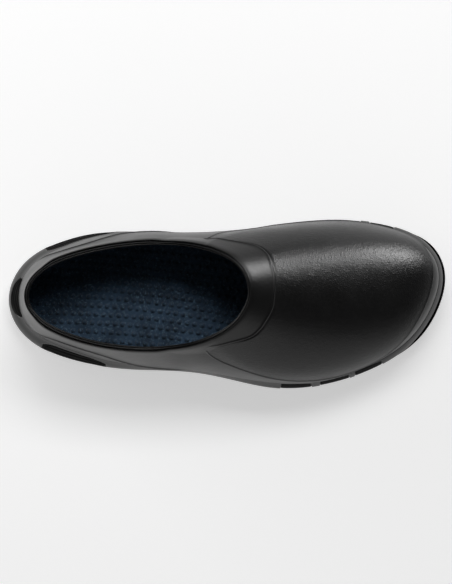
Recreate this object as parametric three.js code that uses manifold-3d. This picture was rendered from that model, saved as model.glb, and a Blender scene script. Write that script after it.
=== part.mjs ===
// A slip-on kitchen clog for the right foot: a foam upper and midsole, a lugged rubber outsole with grip pads
// let into the sole's side, and a loose insole. Millimetres, +Z up, toe towards +X, inner side towards +Y.

import * as THREE from "three";
import { mergeVertices } from "three/addons/utils/BufferGeometryUtils.js";
import Module from "manifold-3d";

const wasm = await Module();
wasm.setup();

// Driving sizes
const LENGTH = 290;
const BALL_WIDTH = 112;
const INSTEP_HEIGHT = 90; // floor to the collar's highest point, over the instep
const SOLE_SIDE = 27; // tread face to the line where upper and midsole meet, at the heel

// Walls and layers
const WALL = 3.6;
const RIM_RISE = 1.7; // rounding of the collar's edge
const GAP = 0.3; // between neighbouring pieces
const EDGE_BREAK = 0.9; // chamfer on both sides of the joint between upper and midsole
const CUP_LEDGE = 0.6; // the cup's edge, inside the upper's wall
const TREAD = 3;
const PLATE = 3.2;
const INSOLE = 4.5;
const INSOLE_ROLL = 1.6; // how far the insole's border turns up
const INSOLE_BORDER = 6;
const INSOLE_ROUND = 1; // rounding of the insole's edges

// The sole's underside
const HEEL_BEVEL = 3;
const ARCH_RISE = 3.2;
const TOE_SPRING = 13;
const HEEL_FLAT_START = 0.08; // shares of the length
const ARCH_START = 0.27;
const ARCH_END = 0.56;
const SPRING_START = 0.72;
const SPRING_POWER = 1.8;
const FOOTBED_HEEL = 20.5; // tread face to footbed
const FOOTBED_BALL = 13.5;
const FOOTBED_TOE = 10.5;
const OUTSOLE_INSET = 1.3;
const SIDE_INSET = 2.4; // midsole's lower edge, inside its widest line
const SIDE_BULGE = 2; // pull of the side's curve out to its widest line, in side insets
const SIDE_BELLY = 0.3; // share of the side's height at which that pull acts
const SIDE_SHOULDER = 0.42; // share of the way back from the joint at which the side turns in
const FLARE = 8; // how far the heel's sole side stands out past the upper
const BUMPER = 2.3; // room that the toe bumper takes from the midsole
const BUMPER_TOP = 10.5; // tread face to the bumper's upper edge
const BUMPER_END = 0.3; // share of its full room at which the bumper ends

// Relief of the upper's wall
const SWEEP_STEP = 0.8; // heel panel up to the band round the collar
const VAMP_STEP = 0.9; // side of the shoe up to the vamp panel
const THROAT_STEP = 0.8; // vamp panel up to the band in front of the collar
const STEP_WIDTH = 1.4;

// Grip pads
const POCKET_DEPTH = 2.2;
const PAD_CELLS = 6;
const PAD_END_POWER = 4; // how late a pad's ends narrow
const PAD_BELOW = 0.5; // pad face below the sole's side
const RIDGE = 0.6;

// Tread
const LUG_ACROSS_FLATS = 18;
const CHANNEL = 4.5;
const LUG_MARGIN = 0.8;

// Form and mesh of the walls
const INWARD_PULL = 14; // keeps a steep rib square to the outline
const PROBE = 0.005; // step, along a rib or round the ribs, that a direction is measured over
const INNER_SHARES = [1, 0.88, 0.72, 0.54, 0.34, 0.16]; // mesh rows of the upper's inside, down its ribs
const SIDE_SHARES = [0, 0.18, 0.36, 0.56, 0.78, 0.94]; // mesh rows of the sole's side, up from its lower edge
const ZONE_CELLS = [1, 3, 8, 2]; // mesh rows of the upper below, between and above its relief lines
const DIVISIONS = 4; // mesh columns from one rib to the next
const CAP_CELLS = 2;
const RIM_CELLS = 4;
const LEAST_ROW = 0.35; // mesh rows of the upper lie at least this far apart

// The ribs stand round the shoe in this order. Lateral is the outer side, medial the inner side.
// along and across place the sole's widest line, as shares of length and ball width. edge is the sole side's
// height as a share of SOLE_SIDE, flare and bumper are shares of FLARE and BUMPER.
const sole = splineTable(
  ["along", "across", "edge", "flare", "bumper"],
  [
    [0.0, -0.012, 1.04, 1.25, 0], // heel centre
    [0.041, -0.24, 1.02, 1.05, 0], // heel corner, lateral
    [0.142, -0.373, 1.0, 0.98, 0], // heel, lateral
    [0.28, -0.428, 0.95, 0.45, 0], // waist back, lateral
    [0.44, -0.446, 0.9, 0.1, 0], // waist front, lateral
    [0.6, -0.536, 0.8, 0.5, 0], // ball, lateral
    [0.74, -0.511, 0.74, 0.42, 0], // small toe, lateral
    [0.86, -0.399, 0.71, 0.4, 0.25], // toe corner, lateral
    [0.952, -0.214, 0.75, 0.42, 0.95], // toe, lateral
    [1.0, 0.085, 0.78, 0.42, 1], // toe tip
    [0.968, 0.312, 0.77, 0.4, 0.95], // toe, medial
    [0.885, 0.421, 0.71, 0.38, 0.2], // toe corner, medial
    [0.75, 0.461, 0.74, 0.26, 0], // ball, medial
    [0.58, 0.412, 0.82, 0.12, 0], // arch front, medial
    [0.42, 0.376, 0.9, 0.06, 0], // arch, medial
    [0.25, 0.391, 0.96, 0.42, 0], // arch back, medial
    [0.135, 0.35, 1.0, 0.85, 0], // heel, medial
    [0.041, 0.22, 1.02, 1.0, 0], // heel corner, medial
  ],
);

// The same ribs above the sole. along, across and height place the collar's outer edge, as shares of length,
// ball width and instep height. A rib leaves the sole leaning out by lean degrees and reaches the collar
// climbing at slope degrees; rise and reach, shares of the rib's chord, say how long it keeps to each.
const collar = splineTable(
  ["along", "across", "height", "lean", "rise", "slope", "reach"],
  [
    [0.055, 0.0, 0.88, 2, 0.36, 84, 0.34], // heel centre
    [0.078, -0.153, 0.865, 2, 0.36, 83, 0.34], // heel corner, lateral
    [0.165, -0.272, 0.825, 0, 0.36, 82, 0.34], // heel, lateral
    [0.283, -0.331, 0.78, -2, 0.36, 78, 0.34], // waist back, lateral
    [0.395, -0.324, 0.79, -3, 0.36, 68, 0.36], // waist front, lateral
    [0.472, -0.266, 0.862, 0, 0.37, 50, 0.4], // ball, lateral
    [0.519, -0.189, 0.925, -1, 0.31, 38, 0.42], // small toe, lateral
    [0.543, -0.108, 0.968, -5, 0.26, 31, 0.43], // toe corner, lateral
    [0.554, -0.03, 0.99, -8, 0.23, 28, 0.44], // toe, lateral
    [0.553, 0.041, 1.0, -9, 0.215, 27, 0.45], // toe tip
    [0.545, 0.105, 0.992, -9, 0.225, 28, 0.44], // toe, medial
    [0.528, 0.166, 0.97, -9, 0.255, 32, 0.43], // toe corner, medial
    [0.498, 0.223, 0.928, -7, 0.31, 41, 0.41], // ball, medial
    [0.449, 0.271, 0.865, -5, 0.36, 53, 0.38], // arch front, medial
    [0.38, 0.302, 0.8, -3, 0.36, 68, 0.36], // arch, medial
    [0.275, 0.292, 0.785, -2, 0.36, 77, 0.34], // arch back, medial
    [0.164, 0.231, 0.825, 0, 0.36, 81, 0.34], // heel, medial
    [0.088, 0.136, 0.865, 2, 0.36, 83, 0.34], // heel corner, medial
  ],
);

// Lines of the relief, each at a share of the rib from sole to collar, and how much of its full step each has
// there. sweep runs over the heel panel, vamp round the vamp panel, throat in front of the collar.
const relief = splineTable(
  ["sweep", "vamp", "throat", "sweepStep", "vampStep", "throatStep"],
  [
    [0.06, 0.72, 0.82, 0, 0, 0], // heel centre
    [0.14, 0.72, 0.82, 0.35, 0, 0], // heel corner, lateral
    [0.5, 0.74, 0.82, 1, 0, 0], // heel, lateral
    [0.25, 0.8, 0.85, 1, 0, 0], // waist back, lateral
    [0.05, 0.86, 0.9, 0.1, 0, 0], // waist front, lateral
    [0.02, 0.29, 0.905, 0, 1, 1], // ball, lateral
    [0.01, 0.06, 0.875, 0, 1, 1], // small toe, lateral
    [0.01, 0.035, 0.895, 0, 1, 1], // toe corner, lateral
    [0.01, 0.115, 0.91, 0, 1, 1], // toe, lateral
    [0.01, 0.13, 0.915, 0, 1, 1], // toe tip
    [0.01, 0.07, 0.9, 0, 1, 1], // toe, medial
    [0.01, 0.02, 0.875, 0, 1, 1], // toe corner, medial
    [0.01, 0.06, 0.87, 0, 1, 1], // ball, medial
    [0.02, 0.36, 0.86, 0, 1, 1], // arch front, medial
    [0.05, 0.86, 0.9, 0.1, 0, 0], // arch, medial
    [0.3, 0.82, 0.87, 1, 0, 0], // arch back, medial
    [0.55, 0.76, 0.84, 1, 0, 0], // heel, medial
    [0.16, 0.72, 0.82, 0.35, 0, 0], // heel corner, medial
  ],
);

// Grip pads in the sole's side, from rib to rib, between two shares of the side's height. taper is how much
// the ends narrow.
const PADS = [
  { name: "heel_pad_back", from: -0.58, to: 0.56, low: 0.56, high: 0.95, taper: 0.6, ridges: 3 },
  { name: "heel_pad_lateral", from: 1.42, to: 2.62, low: 0.16, high: 0.82, taper: 0.6, ridges: 3 },
  { name: "heel_pad_medial", from: 15.05, to: 16.48, low: 0.16, high: 0.86, taper: 0.6, ridges: 3 },
  { name: "side_pad_lateral_back", from: 5.18, to: 5.66, low: 0.16, high: 0.82, taper: 0.15, ridges: 0 },
  { name: "side_pad_lateral_middle", from: 5.83, to: 6.33, low: 0.16, high: 0.82, taper: 0.15, ridges: 0 },
  { name: "side_pad_lateral_front", from: 6.46, to: 6.98, low: 0.16, high: 0.82, taper: 0.15, ridges: 0 },
  { name: "side_pad_medial_back", from: 12.2, to: 12.56, low: 0.16, high: 0.82, taper: 0.15, ridges: 0 },
  { name: "side_pad_medial_middle", from: 11.62, to: 12.04, low: 0.16, high: 0.82, taper: 0.15, ridges: 0 },
  { name: "side_pad_medial_front", from: 11.0, to: 11.44, low: 0.16, high: 0.82, taper: 0.15, ridges: 0 },
];

const CUP_INSET = WALL + CUP_LEDGE;
const RIBS = sole.rows;
const COLUMNS = RIBS * DIVISIONS;
const UP = new THREE.Vector3(0, 0, 1);

const clamp01 = (x) => Math.min(1, Math.max(0, x));
const ease = (x) => clamp01(x) ** 2 * (3 - 2 * clamp01(x));
const blend = (a, b, share) => a + (b - a) * share;

// Columns of numbers read at any place round the closed loop of ribs, through a cubic spline.
function splineTable(names, rows) {
  const n = rows.length;
  const read = { rows: n };
  names.forEach((name, c) => {
    const value = rows.map((row) => row[c]);
    const bend = new Array(n).fill(0);
    for (let pass = 0; pass < 40; pass++)
      for (let i = 0; i < n; i++) {
        const before = (i + n - 1) % n;
        const after = (i + 1) % n;
        const pull = 6 * (value[after] - 2 * value[i] + value[before]);
        bend[i] = (pull - bend[before] - bend[after]) / 4;
      }
    read[name] = (u) => {
      const place = ((u % n) + n) % n;
      const i = Math.floor(place);
      const next = (i + 1) % n;
      const f = place - i;
      const g = 1 - f;
      return g * value[i] + f * value[next] + ((g ** 3 - g) * bend[i] + (f ** 3 - f) * bend[next]) / 6;
    };
  });
  return read;
}

// Height of the tread face above the floor.
function lift(x) {
  const share = x / LENGTH;
  const heel = HEEL_BEVEL * clamp01((HEEL_FLAT_START - share) / HEEL_FLAT_START) ** 2;
  const arch = ARCH_RISE * Math.sin(Math.PI * clamp01((share - ARCH_START) / (ARCH_END - ARCH_START))) ** 2;
  const toe = TOE_SPRING * clamp01((share - SPRING_START) / (1 - SPRING_START)) ** SPRING_POWER;
  return heel + arch + toe;
}

function footbed(x) {
  const share = x / LENGTH;
  const toBall = ease((share - ARCH_START) / (SPRING_START - ARCH_START));
  const toToe = ease((share - SPRING_START) / (1 - SPRING_START));
  const thickness = blend(blend(FOOTBED_HEEL, FOOTBED_BALL, toBall), FOOTBED_TOE, toToe);
  return lift(x) + thickness;
}

// Plan outline of the sole's widest line, and the same moved in by inset.
function outline(u, inset = 0) {
  const at = (w) => new THREE.Vector3(sole.along(w) * LENGTH, sole.across(w) * BALL_WIDTH, 0);
  const tangent = at(u + PROBE).sub(at(u - PROBE)).normalize();
  const outward = new THREE.Vector3().crossVectors(tangent, UP);
  return { point: at(u).addScaledVector(outward, -inset), outward };
}

const bezier = (a, b, c, d, t) =>
  new THREE.Vector3()
    .addScaledVector(a, (1 - t) ** 3)
    .addScaledVector(b, 3 * t * (1 - t) ** 2)
    .addScaledVector(c, 3 * t ** 2 * (1 - t))
    .addScaledVector(d, t ** 3);

const bumperInset = (u) => BUMPER * clamp01(sole.bumper(u));

// Where midsole and upper meet, on the outside.
function joint(u) {
  const { point, outward } = outline(u, Math.max(0, sole.flare(u)) * FLARE + bumperInset(u));
  point.z = lift(point.x) + sole.edge(u) * SOLE_SIDE;
  return { point, outward };
}

// The midsole's side, from its lower edge at v 0 to the joint at v 1.
function sidePoint(u, v) {
  const top = joint(u).point;
  const { point: low, outward } = outline(u, bumperInset(u) + SIDE_INSET);
  low.z = lift(low.x) + TREAD + PLATE + GAP;
  const height = top.z - low.z;
  const belly = low.clone().addScaledVector(outward, SIDE_INSET * SIDE_BULGE);
  belly.z += height * SIDE_BELLY;
  const shoulder = top.clone().lerp(belly, SIDE_SHOULDER);
  return bezier(low, belly, shoulder, top, v);
}

function collarEdge(u) {
  const { along, across, height } = collar;
  return new THREE.Vector3(along(u) * LENGTH, across(u) * BALL_WIDTH, height(u) * INSTEP_HEIGHT);
}

const chordOf = (u) => collarEdge(u).distanceTo(joint(u).point);

// The upper's outer form before its relief, from the joint at t 0 to the collar's edge at t 1.
function ribPoint(u, t) {
  const { point: foot, outward } = joint(u);
  const edge = collarEdge(u);
  const chord = edge.distanceTo(foot);
  const lean = THREE.MathUtils.degToRad(collar.lean(u));
  const slope = THREE.MathUtils.degToRad(collar.slope(u));
  const inward = edge.clone().sub(foot).setZ(0).addScaledVector(outward, -INWARD_PULL).normalize();
  const start = foot
    .clone()
    .addScaledVector(outward, Math.sin(lean) * collar.rise(u) * chord)
    .addScaledVector(UP, Math.cos(lean) * collar.rise(u) * chord);
  const end = edge
    .clone()
    .addScaledVector(inward, -Math.cos(slope) * collar.reach(u) * chord)
    .addScaledVector(UP, -Math.sin(slope) * collar.reach(u) * chord);
  return bezier(foot, start, end, edge, t);
}

function normalOf(surface, u, t) {
  const low = Math.max(0, t - PROBE);
  const high = Math.min(1, t + PROBE);
  const round = surface(u + PROBE, t).sub(surface(u - PROBE, t));
  const up = surface(u, high).sub(surface(u, low));
  return round.cross(up).normalize();
}

function offset(surface, u, t, distance) {
  return surface(u, t).addScaledVector(normalOf(surface, u, t), distance);
}

// Share of a rib that a relief step takes.
const stepShare = (u) => STEP_WIDTH / chordOf(u);

// How far the relief stands out of the upper's form.
function reliefAt(u, t) {
  const width = stepShare(u);
  const step = (line, size) => size * clamp01(relief[line + "Step"](u)) * ease((t - relief[line](u)) / width);
  return step("sweep", SWEEP_STEP) + step("vamp", VAMP_STEP) + step("throat", THROAT_STEP);
}

// Shares of the rib at which the outer wall has mesh rows: two at each relief line, and an even spread
// between. The lowest row stands as high above the joint as the edge there is broken.
function outerRows(u) {
  const width = stepShare(u);
  const lines = [clamp01(relief.sweep(u)), clamp01(relief.vamp(u)), clamp01(relief.throat(u)), 1];
  const shares = [];
  let low = EDGE_BREAK / (3 * collar.rise(u) * chordOf(u));
  lines.forEach((line, zone) => {
    const high = Math.max(line, low + LEAST_ROW / chordOf(u));
    for (let i = 0; i < ZONE_CELLS[zone]; i++) shares.push(blend(low, high, i / ZONE_CELLS[zone]));
    shares.push(high);
    low = high + width;
  });
  return shares.map((share) => Math.min(1, share));
}

// A triangle mesh collected point by point.
class Skin {
  constructor() {
    this.points = [];
    this.faces = [];
  }
  add(point) {
    this.points.push(point);
    return this.points.length - 1;
  }
  ring(points) {
    return points.map((point) => this.add(point));
  }
  quad(a, b, c, d) {
    this.faces.push([a, b, c], [a, c, d]);
  }
  // Joins two rings of equal length, the second above the first on an outer wall.
  band(low, high) {
    const n = low.length;
    for (let k = 0; k < n; k++) this.quad(low[k], low[(k + 1) % n], high[(k + 1) % n], high[k]);
  }
  // Fills a ring whose first point is the heel and whose middle one is the toe, by rungs from side to side.
  cap(ring, surface, facingUp) {
    const n = ring.length;
    const half = n / 2;
    const rungs = [];
    for (let k = 1; k < half; k++) {
      const a = this.points[ring[k]];
      const b = this.points[ring[n - k]];
      const rung = [ring[k]];
      for (let i = 1; i < CAP_CELLS; i++) rung.push(this.add(surface(a.clone().lerp(b, i / CAP_CELLS))));
      rung.push(ring[n - k]);
      rungs.push(rung);
    }
    const face = (a, b, c) => this.faces.push(facingUp ? [a, b, c] : [a, c, b]);
    for (let i = 0; i < CAP_CELLS; i++) {
      face(ring[0], rungs[0][i], rungs[0][i + 1]);
      for (let k = 0; k + 1 < rungs.length; k++) {
        face(rungs[k][i], rungs[k + 1][i], rungs[k + 1][i + 1]);
        face(rungs[k][i], rungs[k + 1][i + 1], rungs[k][i + 1]);
      }
      face(rungs.at(-1)[i], ring[half], rungs.at(-1)[i + 1]);
    }
  }
  solid() {
    const positions = this.points.flatMap((p) => [p.x, p.y, p.z]);
    const geometry = new THREE.BufferGeometry();
    geometry.setAttribute("position", new THREE.Float32BufferAttribute(positions, 3));
    geometry.setIndex(this.faces.flat());
    return toSolid(geometry);
  }
}

function toSolid(geometry) {
  const bare = new THREE.BufferGeometry().setAttribute("position", geometry.getAttribute("position"));
  bare.setIndex(geometry.index);
  const merged = mergeVertices(bare, 1e-4);
  return new wasm.Manifold(
    new wasm.Mesh({
      numProp: 3,
      vertProperties: merged.attributes.position.array,
      triVerts: new Uint32Array(merged.index.array),
    }),
  );
}

function toGeometry(solid) {
  const { vertProperties, triVerts } = solid.getMesh();
  const geometry = new THREE.BufferGeometry();
  geometry.setAttribute("position", new THREE.Float32BufferAttribute(vertProperties, 3));
  geometry.setIndex(new THREE.Uint32BufferAttribute(triVerts, 1));
  geometry.computeVertexNormals();
  return geometry;
}

const places = (count = COLUMNS) => Array.from({ length: count }, (_, k) => (k * RIBS) / count);
const ringOf = (place, count) => places(count).map(place);

// The foam shell from the joint up to the collar.
function upper() {
  const skin = new Skin();
  const rows = [];
  rows.push(
    ringOf((u) => {
      const { point, outward } = joint(u);
      return point.addScaledVector(outward, -EDGE_BREAK);
    }),
  );
  const shares = places().map(outerRows);
  for (let r = 0; r < shares[0].length; r++)
    rows.push(
      ringOf((u) => {
        const t = shares[Math.round(u * DIVISIONS)][r];
        return offset(ribPoint, u, t, reliefAt(u, t));
      }),
    );
  for (let i = 1; i < RIM_CELLS; i++)
    rows.push(
      ringOf((u) => {
        const turn = (Math.PI * i) / RIM_CELLS;
        const top = reliefAt(u, 1);
        const middle = offset(ribPoint, u, 1, (top - WALL) / 2);
        const along = ribPoint(u, 1).sub(ribPoint(u, 1 - PROBE)).normalize();
        return middle
          .addScaledVector(normalOf(ribPoint, u, 1), (Math.cos(turn) * (top + WALL)) / 2)
          .addScaledVector(along, Math.sin(turn) * RIM_RISE);
      }),
    );
  for (const t of INNER_SHARES) rows.push(ringOf((u) => offset(ribPoint, u, t, -WALL)));
  rows.push(
    ringOf((u) => {
      const { point, outward } = joint(u);
      return point.addScaledVector(outward, -WALL);
    }),
  );
  const rings = rows.map((row) => skin.ring(row));
  rings.forEach((ring, i) => skin.band(ring, rings[(i + 1) % rings.length]));
  return skin.solid();
}

// A patch of the sole's side between two depths, as a closed slab. Depth is measured inwards.
function sidePatch({ from, to, low, high, taper, ridges }, grow, outer, inner) {
  const skin = new Skin();
  const across = PAD_CELLS;
  const up = Math.max(1, ridges * 2);
  const middle = (low + high) / 2;
  const speed = outline(from).point.distanceTo(outline(to).point) / (to - from);
  const halfway = (from + to) / 2;
  const height = sidePoint(halfway, 1).distanceTo(sidePoint(halfway, 0));
  const grid = (depth, ridged) =>
    Array.from({ length: across + 1 }, (_, i) => {
      const share = i / across;
      const u = blend(from - grow / speed, to + grow / speed, share);
      const narrow = 1 - taper * Math.abs(2 * share - 1) ** PAD_END_POWER;
      const reach = ((high - low) / 2) * narrow + grow / height;
      return Array.from({ length: up + 1 }, (__, j) => {
        const v = blend(middle - reach, middle + reach, j / up);
        const groove = ridged && ridges && j % 2 === 0 ? RIDGE : 0;
        return skin.add(offset(sidePoint, u, v, -(depth + groove)));
      });
    });
  const front = grid(outer, true);
  const back = grid(inner, false);
  for (let i = 0; i < across; i++)
    for (let j = 0; j < up; j++) {
      skin.quad(front[i][j], front[i + 1][j], front[i + 1][j + 1], front[i][j + 1]);
      skin.quad(back[i][j], back[i][j + 1], back[i + 1][j + 1], back[i + 1][j]);
    }
  for (let i = 0; i < across; i++) {
    skin.quad(back[i][0], back[i + 1][0], front[i + 1][0], front[i][0]);
    skin.quad(front[i][up], front[i + 1][up], back[i + 1][up], back[i][up]);
  }
  for (let j = 0; j < up; j++) {
    skin.quad(back[0][j], front[0][j], front[0][j + 1], back[0][j + 1]);
    skin.quad(front[across][j], back[across][j], back[across][j + 1], front[across][j + 1]);
  }
  return skin.solid();
}

const gripPad = (pad) => sidePatch(pad, 0, PAD_BELOW, POCKET_DEPTH - GAP);

// The foam sole unit: side, rim, cup for the insole, and pockets for the pads.
function midsole() {
  const skin = new Skin();
  const rows = SIDE_SHARES.map((v) => ringOf((u) => sidePoint(u, v)));
  const rimAt = (inset) =>
    ringOf((u) => {
      const { point, outward } = joint(u);
      return point.addScaledVector(outward, -inset).addScaledVector(UP, -GAP);
    });
  const cup = ringOf((u) => {
    const { point, outward } = joint(u);
    point.addScaledVector(outward, -CUP_INSET);
    point.z = footbed(point.x);
    return point;
  });
  const rings = [...rows, rimAt(EDGE_BREAK), rimAt(CUP_INSET), cup].map((row) => skin.ring(row));
  for (let i = 0; i + 1 < rings.length; i++) skin.band(rings[i], rings[i + 1]);
  const underside = (p) => p.setZ(lift(p.x) + TREAD + PLATE + GAP);
  skin.cap(rings[0], underside, false);
  skin.cap(rings.at(-1), (p) => p.setZ(footbed(p.x)), true);
  const pockets = PADS.map((pad) => sidePatch({ ...pad, ridges: 0 }, GAP, -POCKET_DEPTH, POCKET_DEPTH));
  return skin.solid().subtract(wasm.Manifold.union(pockets));
}

// The outsole's plan lies inside the widest line, but reaches it at the toe.
const outsoleInset = (u) => OUTSOLE_INSET * (1 - clamp01(sole.bumper(u)));

// A flat layer of the sole, between two heights above the tread face.
function layer(margin, low, high, columns) {
  const skin = new Skin();
  const at = (height) => (u) => {
    const { point } = outline(u, outsoleInset(u) + margin);
    point.z = lift(point.x) + height;
    return point;
  };
  const bottom = skin.ring(ringOf(at(low), columns));
  const top = skin.ring(ringOf(at(high), columns));
  skin.band(bottom, top);
  skin.cap(bottom, (p) => p.setZ(lift(p.x) + low), false);
  skin.cap(top, (p) => p.setZ(lift(p.x) + high), true);
  return skin.solid();
}

// The lip that the outsole turns up over the toe.
function toeBumper() {
  const skin = new Skin();
  const sections = places()
    .filter((u) => sole.bumper(u) > BUMPER_END)
    .map((u) => {
      const corner = (inset, height) => {
        const { point } = outline(u, inset);
        point.z = lift(point.x) + height;
        return skin.add(point);
      };
      const thick = bumperInset(u) - GAP;
      const round = thick / 2;
      const low = TREAD + PLATE / 2;
      const high = blend(TREAD + PLATE, BUMPER_TOP, ease(sole.bumper(u)));
      const outer = [corner(0, low), corner(0, high - round), corner(round, high)];
      return [...outer, corner(thick, high), corner(thick, low)];
    });
  const corners = sections[0].length;
  for (let i = 0; i + 1 < sections.length; i++)
    for (let j = 0; j < corners; j++) {
      const next = (j + 1) % corners;
      skin.quad(sections[i][j], sections[i + 1][j], sections[i + 1][next], sections[i][next]);
    }
  for (let j = 1; j + 1 < corners; j++) {
    skin.faces.push([sections[0][0], sections[0][j], sections[0][j + 1]]);
    skin.faces.push([sections.at(-1)[0], sections.at(-1)[j + 1], sections.at(-1)[j]]);
  }
  return skin.solid();
}

// Six-sided lugs standing on a staggered grid, cut to the sole's plan and to the curve of its underside.
function lugs() {
  const pitch = LUG_ACROSS_FLATS + CHANNEL;
  const rowPitch = (pitch * Math.sqrt(3)) / 2;
  const radius = LUG_ACROSS_FLATS / Math.sqrt(3);
  const top = TOE_SPRING + TREAD + PLATE;
  const prisms = [];
  const rows = Math.ceil(LENGTH / rowPitch);
  const half = Math.ceil(BALL_WIDTH / 2 / pitch) + 1;
  for (let row = 0; row <= rows; row++)
    for (let i = -half; i <= half; i++) {
      const x = row * rowPitch;
      const y = (i + (row % 2) / 2) * pitch;
      const prism = new THREE.CylinderGeometry(radius, radius, top * 2, 6).rotateX(Math.PI / 2);
      prisms.push(toSolid(prism.translate(x, y, 0)));
    }
  const tread = layer(LUG_MARGIN, 0, TREAD + PLATE / 2, RIBS * 2);
  return wasm.Manifold.union(prisms).intersect(tread);
}

const outsole = () => layer(0, TREAD, TREAD + PLATE, COLUMNS).add(toeBumper()).add(lugs());

// The loose insole, resting in the midsole's cup with its border turned up.
function insole() {
  const skin = new Skin();
  const at = (inset, height) =>
    ringOf((u) => {
      const { point, outward } = joint(u);
      point.addScaledVector(outward, -(CUP_INSET + GAP + inset));
      point.z = footbed(point.x) + GAP + height;
      return point;
    });
  const top = INSOLE + INSOLE_ROLL;
  const edge = [at(INSOLE_ROUND, 0), at(0, INSOLE_ROUND), at(0, top - INSOLE_ROUND), at(INSOLE_ROUND, top)];
  const rings = [...edge, at(INSOLE_BORDER, INSOLE)].map((row) => skin.ring(row));
  for (let i = 0; i + 1 < rings.length; i++) skin.band(rings[i], rings[i + 1]);
  skin.cap(rings[0], (p) => p.setZ(footbed(p.x) + GAP), false);
  skin.cap(rings.at(-1), (p) => p.setZ(footbed(p.x) + GAP + INSOLE), true);
  return skin.solid();
}

const foam = new THREE.MeshStandardMaterial({ color: 0x222324, roughness: 0.5, metalness: 0 });
const rubber = new THREE.MeshStandardMaterial({ color: 0x121212, roughness: 0.75, metalness: 0 });
const cloth = new THREE.MeshStandardMaterial({ color: 0x1b2a3d, roughness: 0.9, metalness: 0 });

const clog = new THREE.Group();

function addPiece(name, solid, material) {
  const mesh = new THREE.Mesh(toGeometry(solid), material);
  mesh.name = name;
  clog.add(mesh);
}

addPiece("upper", upper(), foam);
addPiece("midsole", midsole(), foam);
addPiece("outsole", outsole(), rubber);
addPiece("insole", insole(), cloth);
for (const pad of PADS) addPiece(pad.name, gripPad(pad), rubber);

// The origin lies on the floor, under the middle of the clog.
const box = new THREE.Box3().setFromObject(clog);
const middle = box.getCenter(new THREE.Vector3());
clog.position.set(-middle.x, -middle.y, -box.min.z);

export default clog;
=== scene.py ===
"""Dresses the packed kitchen clog: foam shell, sole unit, rubber tread and grips, nubbed insole and stage.

All lengths are metres in the packed part's frame: toe towards +X, inner side towards +Y, floor at z 0.
"""

import math

import bmesh
import bpy
import numpy as np
from bpy.props import FloatProperty, FloatVectorProperty, IntProperty, PointerProperty
from mathutils import Matrix, Vector


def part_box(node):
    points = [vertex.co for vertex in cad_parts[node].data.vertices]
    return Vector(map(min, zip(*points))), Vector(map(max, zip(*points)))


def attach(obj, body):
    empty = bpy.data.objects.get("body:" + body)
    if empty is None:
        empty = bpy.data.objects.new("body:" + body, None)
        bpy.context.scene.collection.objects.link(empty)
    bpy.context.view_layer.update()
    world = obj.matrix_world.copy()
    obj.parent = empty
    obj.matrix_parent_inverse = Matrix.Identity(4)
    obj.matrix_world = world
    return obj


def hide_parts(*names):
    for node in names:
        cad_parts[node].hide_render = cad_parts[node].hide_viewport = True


bl_info = {
    "name": "Kitchen clog",
    "version": (1, 0, 0),
    "blender": (4, 5, 0),
    "location": "3D View > Sidebar > Clog",
    "description": "Models the finished surfaces of a slip-on kitchen clog round its packed solids",
    "category": "Object",
}

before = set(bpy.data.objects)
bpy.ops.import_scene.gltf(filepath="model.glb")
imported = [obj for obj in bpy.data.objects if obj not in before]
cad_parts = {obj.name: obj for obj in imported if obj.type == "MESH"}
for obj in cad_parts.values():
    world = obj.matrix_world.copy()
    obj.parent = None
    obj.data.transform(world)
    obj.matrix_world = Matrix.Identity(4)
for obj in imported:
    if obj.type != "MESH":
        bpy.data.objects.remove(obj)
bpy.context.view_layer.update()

MM = 0.001
UP = np.array([0.0, 0.0, 1.0])
PROBE = 0.005  # step, along a rib or round the ribs, that a direction is measured over
SOLID_COLUMNS = 72  # columns of the packed solids round the shoe

# The ribs stand round the shoe, from the heel along the outer (lateral) side to the toe and back along the
# inner (medial) side. along and across place the sole's widest line, as shares of length and ball width.
# edge, flare and bumper are shares of the sizes sole_side, flare and bumper.
SOLE_RIBS = (
    ("along", "across", "edge", "flare", "bumper"),
    (
        (0.0, -0.012, 1.04, 1.25, 0),  # heel centre
        (0.041, -0.24, 1.02, 1.05, 0),
        (0.142, -0.373, 1.0, 0.98, 0),  # heel, lateral
        (0.28, -0.428, 0.95, 0.45, 0),
        (0.44, -0.446, 0.9, 0.1, 0),  # waist, lateral
        (0.6, -0.536, 0.8, 0.5, 0),
        (0.74, -0.511, 0.74, 0.42, 0),  # ball, lateral
        (0.86, -0.399, 0.71, 0.4, 0.25),
        (0.952, -0.214, 0.75, 0.42, 0.95),
        (1.0, 0.085, 0.78, 0.42, 1),  # toe tip
        (0.968, 0.312, 0.77, 0.4, 0.95),
        (0.885, 0.421, 0.71, 0.38, 0.2),
        (0.75, 0.461, 0.74, 0.26, 0),  # ball, medial
        (0.58, 0.412, 0.82, 0.12, 0),
        (0.42, 0.376, 0.9, 0.06, 0),  # arch
        (0.25, 0.391, 0.96, 0.42, 0),
        (0.135, 0.35, 1.0, 0.85, 0),  # heel, medial
        (0.041, 0.22, 1.02, 1.0, 0),
    ),
)

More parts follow.
